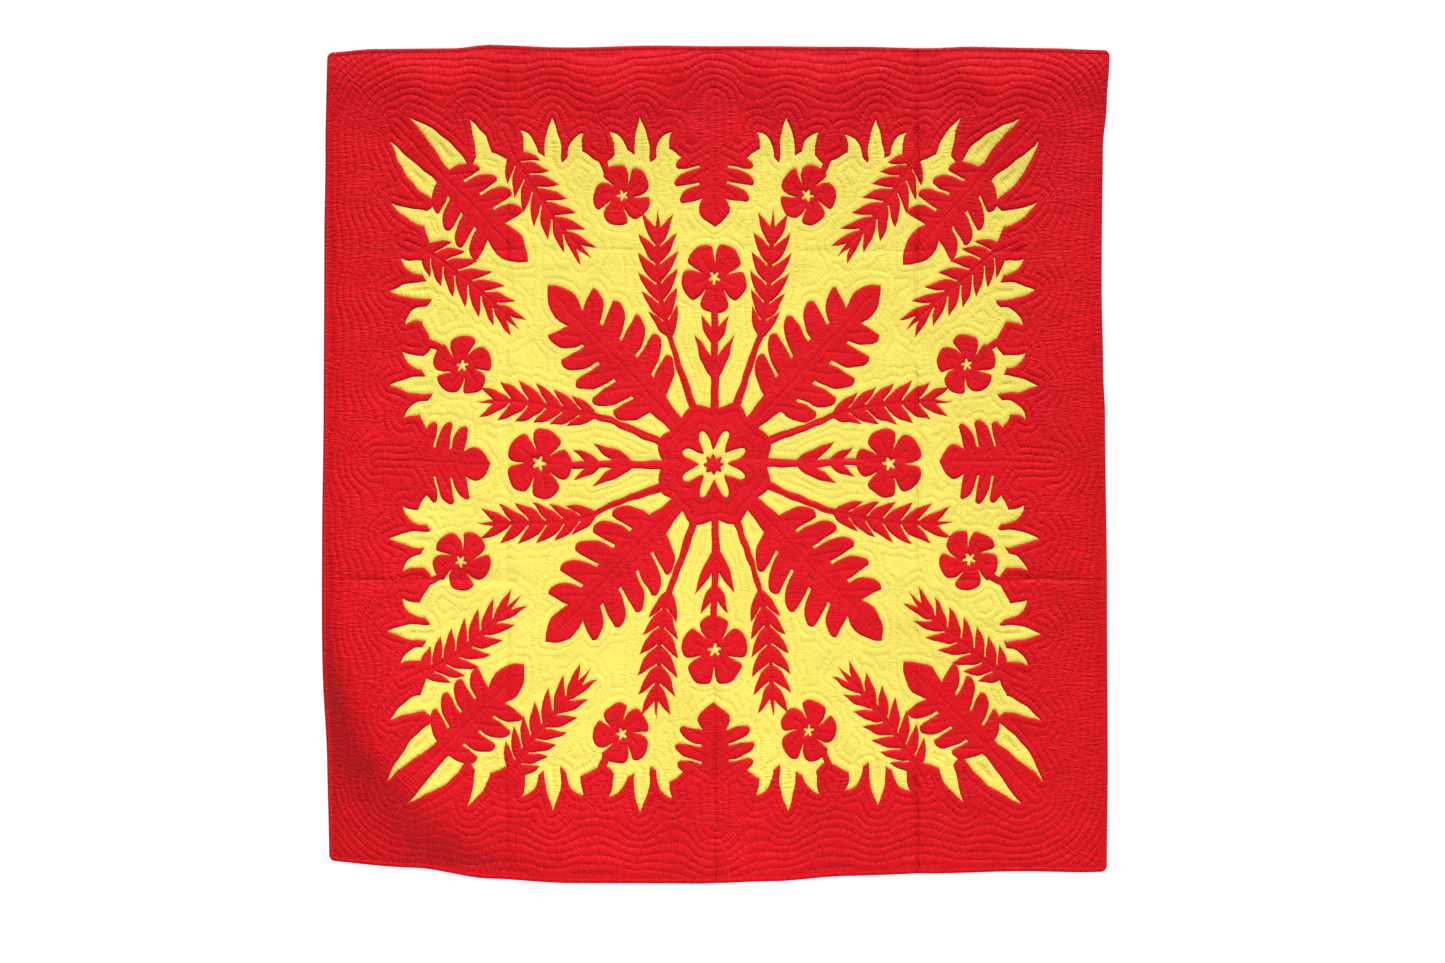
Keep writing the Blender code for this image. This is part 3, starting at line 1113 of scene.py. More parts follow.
@dataclass
class QuiltSheet:
    """A triangulated sheet on the flat cut, with its echo distances and what of it is applique."""

    flat: np.ndarray
    triangles: np.ndarray
    echo: np.ndarray
    applique: np.ndarray

    @classmethod
    def drawn(
        cls, pattern: CutPattern, echoes: EchoField, contours: dict[float, list[np.ndarray]], step: float
    ) -> QuiltSheet:
        """Triangulates the drawn eighth along its outlines and contours, and unfolds it eight times.

        Args:
            pattern: The cut pattern.
            echoes: Its echo field.
            contours: Contour lines of that field, from EchoField.contours.
            step: The spacing of points along the eighth's border.

        Returns:
            The whole sheet.
        """
        net = Net()
        net.add_wedge(step)
        fold = HALF_CUT - FOLD_INSET
        net.add(split_run([fold + 0j, complex(fold, fold)], step))
        for start, end in pattern.outlines:
            net.add([start, end])
        for vein in pattern.veins:
            net.add(vein)
        for lines in contours.values():
            for line in lines:
                net.add(line.tolist())
        points, triangles = net.triangles()
        applique = pattern.is_applique(points[triangles].mean(axis=1))
        used = np.unique(triangles)
        renumber = np.zeros(len(points), dtype=int)
        renumber[used] = np.arange(len(used))
        points, triangles = points[used], renumber[triangles]
        return cls(points, triangles, echoes.at(points), applique).unfolded()

    def unfolded(self) -> QuiltSheet:
        """The eight mirror images of the drawn eighth, joined."""
        flats, faces = [], []
        for quarter in range(4):
            for mirrored in (False, True):
                image = self.flat.conjugate() if mirrored else self.flat
                offset = len(self.flat) * len(flats)
                faces.append(offset + (self.triangles[:, ::-1] if mirrored else self.triangles))
                flats.append(image * 1j**quarter)
        return QuiltSheet(
            np.concatenate(flats), np.concatenate(faces), np.tile(self.echo, 8), np.tile(self.applique, 8)
        ).welded()

    def welded(self) -> QuiltSheet:
        """The same sheet with points at one place made one."""
        keys = np.round(np.stack([self.flat.real, self.flat.imag], axis=1) / WELD).astype(np.int64)
        _, first, index = np.unique(keys, axis=0, return_index=True, return_inverse=True)
        return QuiltSheet(
            self.flat[first], index.reshape(-1)[self.triangles], self.echo[first], self.applique
        )

    def joined(self, other: QuiltSheet) -> QuiltSheet:
        """This sheet and another joined where their points meet."""
        return QuiltSheet(
            np.concatenate([self.flat, other.flat]),
            np.concatenate([self.triangles, other.triangles + len(self.flat)]),
            np.concatenate([self.echo, other.echo]),
            np.concatenate([self.applique, other.applique]),
        ).welded()

    def headings(self) -> np.ndarray:
        """The doubled angle of the way across the echo lines at each point, as unit complex numbers."""
        corners, echo = self.flat[self.triangles], self.echo[self.triangles]
        first, second = corners[:, 1] - corners[:, 0], corners[:, 2] - corners[:, 0]
        turn = (first.conjugate() * second).imag
        slope = 1j * (first * (echo[:, 2] - echo[:, 0]) - second * (echo[:, 1] - echo[:, 0])) / turn
        doubled = slope * slope * turn
        total = np.full(len(self.flat), LEAST_SLOPE, dtype=complex)
        for corner in range(3):
            np.add.at(total, self.triangles[:, corner], doubled)
        return total / np.abs(total)

    def part(self, keep: np.ndarray) -> QuiltSheet:
        """The sheet of the triangles that are kept, without unused points."""
        used = np.unique(self.triangles[keep])
        renumber = np.zeros(len(self.flat), dtype=int)
        renumber[used] = np.arange(len(used))
        return QuiltSheet(
            self.flat[used], renumber[self.triangles[keep]], self.echo[used], self.applique[keep]
        )

    def area(self) -> float:
        """The sheet's area on the flat cut."""
        corners = self.flat[self.triangles]
        turn = (corners[:, 1] - corners[:, 0]).conjugate() * (corners[:, 2] - corners[:, 0])
        return float(turn.imag.sum() / 2)

    def rim(self) -> tuple[np.ndarray, np.ndarray]:
        """The rim edges away from the cut's own edge.

        Returns:
            The edges' first and second points, as they turn in their triangles.
        """
        starts = self.triangles.ravel()
        ends = self.triangles[:, [1, 2, 0]].ravel()
        low, high = np.minimum(starts, ends), np.maximum(starts, ends)
        _, index, count = np.unique(low * len(self.flat) + high, return_inverse=True, return_counts=True)
        alone = count[index.reshape(-1)] == 1
        starts, ends = starts[alone], ends[alone]
        middle = (self.flat[starts] + self.flat[ends]) / 2
        inner = from_middle(middle) < SHEET_HALF - RIM_SLACK
        return starts[inner], ends[inner]


@dataclass(frozen=True)
class Handwork:
    """The unevenness of handwork: drifting outlines, ridges of uneven height and slight waves."""

    drift: float = 0.0028
    drift_wavelength: float = 0.30
    flutter: float = 0.0015
    flutter_wavelength: float = 0.060
    ridge_swing: float = 0.30
    ridge_wavelength: float = 0.060
    seam_ease: float = 0.016
    swell: float = 0.0006
    swell_wavelength: float = 0.090
    edge_ease: float = 0.035
    roundness: float = 0.5
    drift_seeds: tuple[int, int] = (3, 4)
    flutter_seeds: tuple[int, int] = (5, 6)
    ridge_seed: int = 7
    swell_seed: int = 8

    def shift(self, flat: np.ndarray) -> np.ndarray:
        """Drifts flat points a little, less towards the edge of the cut."""
        from_edge = HALF_CUT - from_middle(flat)
        ease = smooth((from_edge - FOLD_INSET) / self.edge_ease)
        large = self.wander(flat, self.drift_wavelength, self.drift_seeds)
        small = self.wander(flat, self.flutter_wavelength, self.flutter_seeds)
        return flat + ease * (self.drift * large + self.flutter * small)

    @staticmethod
    def wander(flat: np.ndarray, wavelength: float, seeds: tuple[int, int]) -> np.ndarray:
        """A random way and share at each flat point, from one field across and one up."""
        across, up = (Drift(wavelength, seed).at(flat) for seed in seeds)
        return across + 1j * up

    def ridge(self, flat: np.ndarray, echo: np.ndarray) -> np.ndarray:
        """The rise of the wadding between stitched lines, from 0 on a line to about 1."""
        phase = (echo / ECHO_PITCH) % 1.0
        plain = np.sin(np.pi * phase) ** self.roundness
        plain *= fullness(flat) * smooth((SEAM_HALF - from_middle(flat)) / self.seam_ease)
        return plain * (1 + self.ridge_swing * Drift(self.ridge_wavelength, self.ridge_seed).at(flat))

    def swells(self, flat: np.ndarray) -> np.ndarray:
        """Slight waves of the whole cloth, none at its edge."""
        from_edge = HALF_CUT - from_middle(flat)
        ease = smooth((from_edge - FOLD_INSET) / self.edge_ease)
        return ease * self.swell * Drift(self.swell_wavelength, self.swell_seed).at(flat)


@dataclass(frozen=True)
class CottonFinish:
    """The finish of one cotton cloth: its colours and how they vary. Its shade colour is painted as shade
    along stitched lines and creases, and the fading also leans toward it.
    """

    name: str
    colour: tuple[float, float, float]
    shade: tuple[float, float, float]
    slot: str
    # How far the colour is painted toward the shade colour along stitched lines: painted shade in the quilted
    # valleys
    line_shade: float = 0.15
    relief: float = 1.15
    weave: float = 0.35
    roughness: float = 0.60
    sheen: float = 0.05
    gloss: float = 0.30
    gloss_tint: tuple[float, float, float] = (1.0, 0.34, 0.62)


RED_COTTON = CottonFinish("red_cotton", (0.705, 0.0045, 0.0070), (0.430, 0.0018, 0.0030), "quilted_cotton")
YELLOW_COTTON = CottonFinish(
    "yellow_cotton", (0.900, 0.780, 0.140), (0.740, 0.540, 0.065), "quilted_cotton", line_shade=0.15,
    relief=0.8, gloss=0.2, gloss_tint=(1.0, 0.9, 0.7),
)
# The back cloth gets stronger painted shade along its stitched lines
BACK_COTTON = CottonFinish(
    "back_cotton", (0.600, 0.0080, 0.0140), (0.380, 0.0040, 0.0080), "quilted_cotton", line_shade=0.40
)
BINDING_COTTON = CottonFinish(
    "binding_cotton", (0.650, 0.0045, 0.0080), (0.400, 0.0020, 0.0040), "binding_cotton"
)
RED_THREAD = CottonFinish("red_thread", (0.500, 0.0060, 0.0110), (0.380, 0.0040, 0.0080), "quilted_cotton")
YELLOW_THREAD = CottonFinish("yellow_thread", (0.800, 0.620, 0.110), (0.660, 0.480, 0.070), "quilted_cotton")


class NodeMaker:
    """Adds and links nodes in one tree, each by a short call."""

    def __init__(self, tree: bpy.types.NodeTree) -> None:
        """Takes the tree to add to."""
        self.tree = tree

    def add(
        self, kind: str, inputs: dict[str | int, object] | None = None, **settings: object
    ) -> bpy.types.Node:
        """Adds a node.

        Args:
            kind: The node's type name.
            inputs: What goes into its inputs: values, or sockets to link.
            settings: Values for its own properties.

        Returns:
            The node.
        """
        node = self.tree.nodes.new(kind)
        for key, value in settings.items():
            setattr(node, key, value)
        for key, value in (inputs or {}).items():
            if isinstance(value, bpy.types.NodeSocket):
                self.tree.links.new(value, node.inputs[key])
            else:
                node.inputs[key].default_value = value
        return node

    def math(self, operation: str, *values: object) -> bpy.types.NodeSocket:
        """A Math node's result."""
        return self.add("ShaderNodeMath", dict(enumerate(values)), operation=operation).outputs[0]

    def ranged(
        self, value: object, start: tuple[float, float], end: tuple[float, float], eased: bool = False
    ) -> bpy.types.NodeSocket:
        """A Map Range node's result.

        Args:
            value: The socket to map.
            start: The range that it comes from.
            end: The range that it is brought to.
            eased: Whether it eases in and out of that range.

        Returns:
            The result's socket.
        """
        bounds = dict(zip(("From Min", "From Max", "To Min", "To Max"), (*start, *end)))
        kind = "SMOOTHSTEP" if eased else "LINEAR"
        made = self.add("ShaderNodeMapRange", {"Value": value, **bounds}, interpolation_type=kind)
        return made.outputs[0]

    def noise(
        self, place: object, scale: float, detail: float, roughness: float = 0.5, bend: float = 0.0
    ) -> bpy.types.NodeSocket:
        """A Noise Texture node's value at a place, from about 0 to 1."""
        inputs = {"Vector": place, "Scale": scale, "Detail": detail}
        inputs |= {"Roughness": roughness, "Distortion": bend}
        return self.add("ShaderNodeTexNoise", inputs).outputs[0]


class GroupMaker(NodeMaker):
    """Makes one shader group: its sockets, and the nodes between them."""

    def __init__(self, name: str, given: str, kept: tuple[str, ...]) -> None:
        """Starts the group.

        Args:
            name: The group's name.
            given: The name of its vector input.
            kept: The names of its outputs, all of them values.
        """
        super().__init__(bpy.data.node_groups.new(name, "ShaderNodeTree"))
        face = self.tree.interface
        face.new_socket(given, in_out="INPUT", socket_type="NodeSocketVector")
        for output in kept:
            face.new_socket(output, in_out="OUTPUT", socket_type="NodeSocketFloat")
        self.place = self.add("NodeGroupInput").outputs[given]
        self.target = self.add("NodeGroupOutput")

    def put(self, name: str, value: bpy.types.NodeSocket) -> None:
        """Links a value to one of the group's outputs."""
        self.tree.links.new(value, self.target.inputs[name])


@dataclass
class CottonShaders:
    """The shader groups that every cotton shares, and the materials made with them."""

    # Weave
    thread_pitch: float = 0.00065
    thread_height: float = 0.00012
    thread_share: float = 0.5
    slub_scale: tuple[float, float, float] = (1400.0, 60.0, 1.0)

    # Stitched lines, and the puckers and grooves beside them
    # Half the width of the painted shade along each stitched line
    line_half: float = 0.0020
    ripple_pitch: float = 0.0055
    ripple_length: float = 0.0240
    ripple_detail: float = 1.5
    ripple_roughness: float = 0.45
    ripple_bend: float = 0.3
    pucker_height: float = 0.0040
    pucker_reach: float = 0.0095
    pucker_least: float = 0.65
    groove_depth: float = 0.0009
    groove_half: float = 0.0045
    groove_scale: float = 38.0
    groove_range: tuple[float, float] = (0.35, 0.65)
    groove_least: float = 0.4

    # Packing creases: their bump, and the shade painted along them
    crease_depth: float = 0.0016
    crease_full: float = 0.003
    crease_half: float = 0.0075
    # How strongly each crease paints shade into the colour, for each metre of its depth
    crease_shade_strength: float = 28.0
    crease_swing: float = 0.016
    crease_swing_scale: float = 9.0
    crease_break_scale: float = 7.0
    crease_break: tuple[float, float] = (0.42, 0.62)
    crease_least: float = 0.1
    crease_whole: float = 0.7
    crease_detail: float = 2.0

    # Fading
    fade_slow_scale: float = 5.0
    fade_slow_detail: float = 3.0
    fade_fine_scale: float = 420.0
    fade_fine_share: float = 0.5
    fade_range: tuple[float, float] = (0.5, 1.0)
    fade_most: float = 0.30

    sheen_roughness: float = 0.5

    def __post_init__(self) -> None:
        """Builds the groups, each once."""
        self.weave = self.weave_group()
        self.quilting = self.quilting_group()
        self.creases = self.crease_group()
        self.fading = self.fading_group()

    def weave_group(self) -> bpy.types.NodeTree:
        """Plain weave: threads over and under each other, with thicker ones here and there."""
        make = GroupMaker("plain_weave", "Flat", ("Height",))
        split = make.add("ShaderNodeSeparateXYZ", {0: make.place})
        turns = math.pi / self.thread_pitch
        waves = [make.math("SINE", make.math("MULTIPLY", split.outputs[axis], turns)) for axis in (0, 1)]
        cross = make.math("MULTIPLY", *waves)
        stretched = make.add("ShaderNodeMapping", {"Vector": make.place, "Scale": self.slub_scale})
        slubs = make.noise(stretched.outputs[0], 1.0, 1.0)
        make.put("Height", make.math("MULTIPLY_ADD", cross, self.thread_share, slubs))
        return make.tree

    def quilting_group(self) -> bpy.types.NodeTree:
        """How near a point is to a stitched line, which the materials use to paint shade along the quilted
        valleys, and the small puckers that the thread draws up there.
        """
        make = GroupMaker("quilting", "Flat", ("Line", "Height"))
        echo = make.add("ShaderNodeAttribute", attribute_name="echo").outputs["Fac"]
        phase = make.math("FRACT", make.math("MULTIPLY_ADD", echo, 1 / ECHO_PITCH, 0.5))
        off = make.math("MULTIPLY", make.math("ABSOLUTE", make.math("SUBTRACT", phase, 0.5)), ECHO_PITCH)
        reach = make.ranged(off, (0.0, self.pucker_reach), (1.0, self.pucker_least), eased=True)
        across = make.add("ShaderNodeAttribute", attribute_name="across").outputs["Vector"]
        split = make.add("ShaderNodeSeparateXYZ", {0: across})
        total = 0.0
        for axis in (0, 1):
            for sign in (1.0, -1.0):
                weight = make.math("MAXIMUM", make.math("MULTIPLY", split.outputs[axis], sign), 0.0)
                degrees = 45.0 * axis + (0.0 if sign > 0 else 90.0)
                ripple = make.math("SUBTRACT", self.ripple(make, degrees), 0.5)
                total = make.math("MULTIPLY_ADD", weight, ripple, total)
        pucker = make.math("MULTIPLY", reach, total)
        groove = make.ranged(off, (0.0, self.groove_half), (-self.groove_depth, 0.0), eased=True)
        uneven = make.noise(make.place, self.groove_scale, 1.0)
        drawn_in = make.ranged(uneven, self.groove_range, (self.groove_least, 1.0))
        full = make.add("ShaderNodeVectorMath", {0: across}, operation="LENGTH").outputs["Value"]
        cut = make.math("MULTIPLY", make.math("MULTIPLY", groove, drawn_in), full)
        # Line: nearness to the stitched line, used as the mask for painted shade in the quilted valleys
        make.put("Line", make.ranged(off, (0.0, self.line_half), (1.0, 0.0), eased=True))
        make.put("Height", make.math("MULTIPLY_ADD", pucker, self.pucker_height, cut))
        return make.tree

    def ripple(self, make: GroupMaker, degrees: float) -> bpy.types.NodeSocket:
        """Fine ripples that run one way over the flat cut.

        Args:
            make: The group's maker.
            degrees: The way in which the ripples run.

        Returns:
            Their height, from 0 to 1.
        """
        turned = make.add(
            "ShaderNodeVectorRotate",
            {"Vector": make.place, "Angle": -math.radians(degrees)},
            rotation_type="Z_AXIS",
        )
        scaled = make.add(
            "ShaderNodeVectorMath",
            {0: turned.outputs[0], 1: (1 / self.ripple_length, 1 / self.ripple_pitch, 1.0)},
            operation="MULTIPLY",
        )
        return make.noise(
            scaled.outputs[0], 1.0, self.ripple_detail, self.ripple_roughness, self.ripple_bend
        )

    def crease_group(self) -> bpy.types.NodeTree:
        """The sharp folds at the bottom of the packing creases, broken off here and there, and the shade
        painted into the colour along them.
        """
        make = GroupMaker("packing_creases", "Place", ("Height", "Line"))
        waver = make.noise(make.place, self.crease_swing_scale, self.crease_detail)
        split = make.add("ShaderNodeSeparateXYZ", {0: make.place})
        uneven = make.noise(make.place, self.crease_break_scale, self.crease_detail)
        sharp = make.ranged(uneven, self.crease_break, (self.crease_least, 1.0))
        total = crease_shade = 0.0
        for crease in HungCloth().creases:
            across, along = ("X", "Z") if crease.upright else ("Z", "X")
            shifted = make.math("MULTIPLY_ADD", waver, self.crease_swing, split.outputs[across])
            off = make.math("ABSOLUTE", make.math("SUBTRACT", shifted, crease.at + self.crease_swing / 2))
            fold = make.ranged(off, (0.0, self.crease_half), (1.0, 0.0), eased=True)
            middle, half = (crease.first + crease.last) / 2, (crease.last - crease.first) / 2
            away = make.math("ABSOLUTE", make.math("SUBTRACT", split.outputs[along], middle))
            fade = make.ranged(away, (half * self.crease_whole, half), (1.0, 0.0))
            line = make.math("MULTIPLY", fold, fade)
            depth = -self.crease_depth * crease.depth / self.crease_full
            total = make.math("MULTIPLY_ADD", line, depth, total)
            # Painted shade along the crease, darker where the crease is deeper
            crease_shade = make.math("MULTIPLY_ADD", line, crease.depth * self.crease_shade_strength, crease_shade)
        make.put("Height", make.math("MULTIPLY", total, sharp))
        # Line: the painted shade along the creases, broken off with the fold
        make.put("Line", make.math("MULTIPLY", crease_shade, sharp))
        return make.tree

    def fading_group(self) -> bpy.types.NodeTree:
        """Slow and fine changes of colour over the cloth."""
        make = GroupMaker("fading", "Place", ("Amount",))
        slow = make.noise(make.place, self.fade_slow_scale, self.fade_slow_detail)
        fine = make.noise(make.place, self.fade_fine_scale, 1.0)
        total = make.math("MULTIPLY_ADD", fine, self.fade_fine_share, slow)
        make.put("Amount", make.ranged(total, self.fade_range, (0.0, self.fade_most)))
        return make.tree

    def material(self, finish: CottonFinish) -> bpy.types.Material:
        """The material of one finish.

        Args:
            finish: The cloth's colours and the strength of each effect.

        Returns:
            The material, with its own Principled BSDF.
        """
        material = bpy.data.materials.new(finish.name)
        material.use_nodes = True
        tree = material.node_tree
        make = NodeMaker(tree)
        shader = tree.nodes["Principled BSDF"]
        place = make.add("ShaderNodeTexCoord").outputs["Object"]
        flat = make.add("ShaderNodeUVMap", uv_map="flat").outputs[0]
        weave = make.add("ShaderNodeGroup", {"Flat": flat}, node_tree=self.weave)
        quilting = make.add("ShaderNodeGroup", {"Flat": flat}, node_tree=self.quilting)
        creases = make.add("ShaderNodeGroup", {"Place": place}, node_tree=self.creases)
        fading = make.add("ShaderNodeGroup", {"Place": place}, node_tree=self.fading)
        # Painted shade along stitched lines and packing creases, plus the fading, mixes the colour toward the
        # shade colour
        darker = make.math(
            "MULTIPLY_ADD", quilting.outputs["Line"], finish.line_shade, fading.outputs["Amount"]
        )
        # Painted shade along the packing creases darkens the colour further
        darker = make.math("ADD", darker, creases.outputs["Line"])
        mix = make.add("ShaderNodeMix", {"Factor": make.math("MINIMUM", darker, 1.0)}, data_type="RGBA")
        mix.inputs["A"].default_value = (*finish.colour, 1.0)
        mix.inputs["B"].default_value = (*finish.shade, 1.0)
        relief = make.math("ADD", quilting.outputs["Height"], creases.outputs["Height"])
        puckered = make.add(
            "ShaderNodeBump", {"Strength": finish.relief, "Distance": 1.0, "Height": relief}
        )
        woven = make.add("ShaderNodeBump", {
            "Strength": finish.weave,
            "Distance": self.thread_height,
            "Height": weave.outputs["Height"],
            "Normal": puckered.outputs[0],
        })
        tree.links.new(mix.outputs["Result"], shader.inputs["Base Color"])
        tree.links.new(woven.outputs[0], shader.inputs["Normal"])
        shader.inputs["Roughness"].default_value = finish.roughness
        shader.inputs["Sheen Weight"].default_value = finish.sheen
        shader.inputs["Sheen Roughness"].default_value = self.sheen_roughness
        shader.inputs["Specular IOR Level"].default_value = finish.gloss
        shader.inputs["Specular Tint"].default_value = (*finish.gloss_tint, 1.0)
        return material


def placed(name: str, data: bpy.types.ID) -> bpy.types.Object:
    """A new object in the scene, at the origin and unturned."""
    made = bpy.data.objects.new(name, data)
    bpy.context.scene.collection.objects.link(made)
    return made


class PieceMaker:
    """Makes the pieces of the visual model and joins them to the frame."""

    sharp_degrees: int = 50

    def __init__(self) -> None:
        """Builds the shader groups and starts with no materials."""
        self.shaders = CottonShaders()
        self.materials: dict[str, bpy.types.Material] = {}

    def material(self, finish: CottonFinish) -> bpy.types.Material:
        """The material of a finish, made once."""
        if finish.name not in self.materials:
            self.materials[finish.name] = self.shaders.material(finish)
        return self.materials[finish.name]

    def sheet(
        self, name: str, points: np.ndarray, faces: list, drawn: QuiltSheet, finish: CottonFinish
    ) -> bpy.types.Object:
        """A piece of cloth as one object that rides on the frame.

        Args:
            name: The piece's name.
            points: Hung points, one row each.
            faces: Faces as lists of point numbers.
            drawn: The same points on the flat cut, with their echo distances.
            finish: The cloth's finish.

        Returns:
            The object.
        """
        mesh = bpy.data.meshes.new(name)
        mesh.from_pydata(points.tolist(), [], faces)
        mesh.attributes.new("echo", "FLOAT", "POINT").data.foreach_set("value", drawn.echo.astype(np.float32))
        doubled = drawn.headings() * fullness(drawn.flat)
        across = np.stack([doubled.real, doubled.imag, np.zeros(len(doubled))], axis=1)
        mesh.attributes.new("across", "FLOAT_VECTOR", "POINT").data.foreach_set(
            "vector", across.astype(np.float32).ravel()
        )
        corners = np.empty(len(mesh.loops), dtype=np.int32)
        mesh.loops.foreach_get("vertex_index", corners)
        layer = mesh.uv_layers.new(name="flat")
        places = np.stack([drawn.flat.real[corners], drawn.flat.imag[corners]], axis=1)
        layer.data.foreach_set("uv", places.astype(np.float32).ravel())
        mesh.shade_smooth()
        mesh.set_sharp_from_angle(angle=math.radians(self.sharp_degrees))
        mesh.materials.append(self.material(finish))
        piece = placed(name, mesh)
        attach(piece, BODY)
        LOG.info("%s: %d points, %d faces", name, len(points), len(faces))
        return piece


@dataclass(frozen=True)
class QuiltCloths:
    """The applique, the ground cloth under it and the back cloth."""

    hung: HungCloth
    hand: Handwork
    maker: PieceMaker
    rim_drop: float = 0.3
    foot_drop: float = 1.1
    foot_out: float = 0.0004
    least_turn: float = 0.3

    def rise(self, sheet: QuiltSheet, ridge_rise: float) -> np.ndarray:
        """How far the face's surface stands proud, eased down inside the binding.

        Args:
            sheet: The sheet.
            ridge_rise: How far the wadding rises between stitched lines.

        Returns:
            The rise of each point.
        """
        open_rise = VALLEY_PROUD + ridge_rise * self.hand.ridge(sheet.flat, sheet.echo)
        open_rise += self.hand.swells(sheet.flat)
        return np.where(from_middle(sheet.flat) < SEAM_HALF, open_rise, HIDDEN_PROUD)

    def applique(self, sheet: QuiltSheet) -> bpy.types.Object:
        """The red cloth that is cut away over the ground, its edge turned under and sewn down."""
        part = sheet.part(sheet.applique)
        rise = self.rise(part, APPLIQUE_RIDGE) + APPLIQUE_RISE
        starts, ends = part.rim()
        rim = np.unique(starts)
        rise[rim] -= APPLIQUE_RISE * self.rim_drop
        outward = np.zeros(len(part.flat), dtype=complex)
        heading = part.flat[ends] - part.flat[starts]
        turned = -1j * heading / np.abs(heading)
        np.add.at(outward, starts, turned)
        np.add.at(outward, ends, turned)
        length = np.maximum(np.abs(outward[rim]), self.least_turn)
        foot_flat = part.flat[rim] + self.foot_out * outward[rim] / length
        foot_rise = rise[rim] - APPLIQUE_RISE * self.foot_drop
        feet = np.zeros(len(part.flat), dtype=int)
        feet[rim] = len(part.flat) + np.arange(len(rim))
        walls = np.stack([ends, starts, feet[starts], feet[ends]], axis=1)
        whole = QuiltSheet(
            np.concatenate([part.flat, foot_flat]),
            part.triangles,
            np.append(part.echo, np.zeros(len(rim))),
            part.applique,
        )
        points = self.hung.points(self.hand.shift(whole.flat), np.concatenate([rise, foot_rise]))
        faces = part.triangles.tolist() + walls.tolist()
        piece = self.maker.sheet("applique_cloth", points, faces, whole, RED_COTTON)
        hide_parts(PANEL_NODE)
        return piece

    def ground(self, sheet: QuiltSheet, hidden: QuiltSheet) -> bpy.types.Object:
        """The yellow cloth, quilted where it shows and plain under the applique.

        Args:
            sheet: The quilted sheet.
            hidden: A coarse sheet with the same outlines.

        Returns:
            The piece.
        """
        whole = sheet.part(~sheet.applique).joined(hidden.part(hidden.applique))
        covered = np.ones(len(whole.flat), dtype=bool)
        covered[whole.triangles[~whole.applique]] = False
        rise = np.where(covered, GROUND_HIDDEN + self.hand.swells(whole.flat), self.rise(whole, GROUND_RIDGE))
        points = self.hung.points(self.hand.shift(whole.flat), rise)
        piece = self.maker.sheet("ground_cloth", points, whole.triangles.tolist(), whole, YELLOW_COTTON)
        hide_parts(PANEL_NODE)
        return piece

    def back(self, sheet: QuiltSheet) -> bpy.types.Object:
        """The back cloth, drawn in by the same quilting."""
        depth = BACK_VALLEY + BACK_RISE * self.hand.ridge(sheet.flat, sheet.echo)
        depth = np.where(from_middle(sheet.flat) < SEAM_HALF, depth, HIDDEN_PROUD)
        depth = depth - self.hand.swells(sheet.flat)
        points = self.hung.points(self.hand.shift(sheet.flat), -depth)
        piece = self.maker.sheet("back_cloth", points, sheet.triangles[:, ::-1].tolist(), sheet, BACK_COTTON)
        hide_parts(PANEL_NODE)
        return piece


@dataclass(frozen=True)
class Binding:
    """The folded strip round the quilt's edge, one piece for each side, mitred at the corners."""

    hung: HungCloth
    maker: PieceMaker
    step: float = 0.006
    arc_steps: int = 4
    puff: float = 0.0003
    puff_wavelength: float = 0.017
    puffed_from: float = 0.002
    puff_seed: int = 11
    cut_width: float = 0.032
    section: tuple[tuple[float, float], ...] = (
        (0.0116, 0.0016), (0.0108, 0.0024), (0.0090, 0.0029), (0.0060, 0.0031), (0.0032, 0.0029),
        (0.0012, 0.0021), (0.0002, 0.0009), (0.0000, 0.0000), (0.0002, -0.0009), (0.0012, -0.0020),
        (0.0032, -0.0027), (0.0060, -0.0029), (0.0090, -0.0027), (0.0108, -0.0022), (0.0116, -0.0014),
    )

    def stations(self) -> list[tuple[complex, complex]]:
        """Places along the top side's edge, from one mitre to the other, each with its way outward."""
        straight = HALF_CUT - CORNER_RADIUS
        places = []
        for step in range(self.arc_steps):
            outward = cmath.rect(1, math.radians(135 - 45 * step / self.arc_steps))
            places.append((complex(-straight, straight) + CORNER_RADIUS * outward, outward))
        count = round(2 * straight / self.step)
        for step in range(count + 1):
            places.append((complex(-straight + 2 * straight * step / count, HALF_CUT), 1j))
        for step in range(1, self.arc_steps + 1):
            outward = cmath.rect(1, math.radians(90 - 45 * step / self.arc_steps))
            places.append((complex(straight, straight) + CORNER_RADIUS * outward, outward))
        return places

    def strip(self, side: int) -> bpy.types.Object:
        """One side's strip."""
        turn = (-1j) ** side
        stations = self.stations()
        edge = np.array([place for place, _ in stations]) * turn
        outward = np.array([way for _, way in stations]) * turn
        inset = np.array([row[0] for row in self.section])
        proud = np.array([row[1] for row in self.section])
        flat = (edge[:, None] - inset[None] * outward[:, None]).ravel()
        lumps = Drift(self.puff_wavelength, self.puff_seed + side).at(flat)
        rows = np.tile(proud, len(stations))
        rows = rows + np.sign(rows) * self.puff * lumps * (np.abs(rows) > self.puffed_from)
        points = self.hung.points(flat, rows)
        across = len(self.section)
        faces = []
        for station in range(len(stations) - 1):
            for row in range(across - 1):
                here = station * across + row
                faces.append((here, here + across, here + across + 1, here + 1))
        triangles = np.array([face[:3] for face in faces])
        drawn = QuiltSheet(flat, triangles, np.tile(inset, len(stations)), np.ones(len(faces), dtype=bool))
        name = f"binding_cloth_{SIDES[side]}"
        piece = self.maker.sheet(name, points, faces, drawn, BINDING_COTTON)
        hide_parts(f"binding_{SIDES[side]}")
        return piece


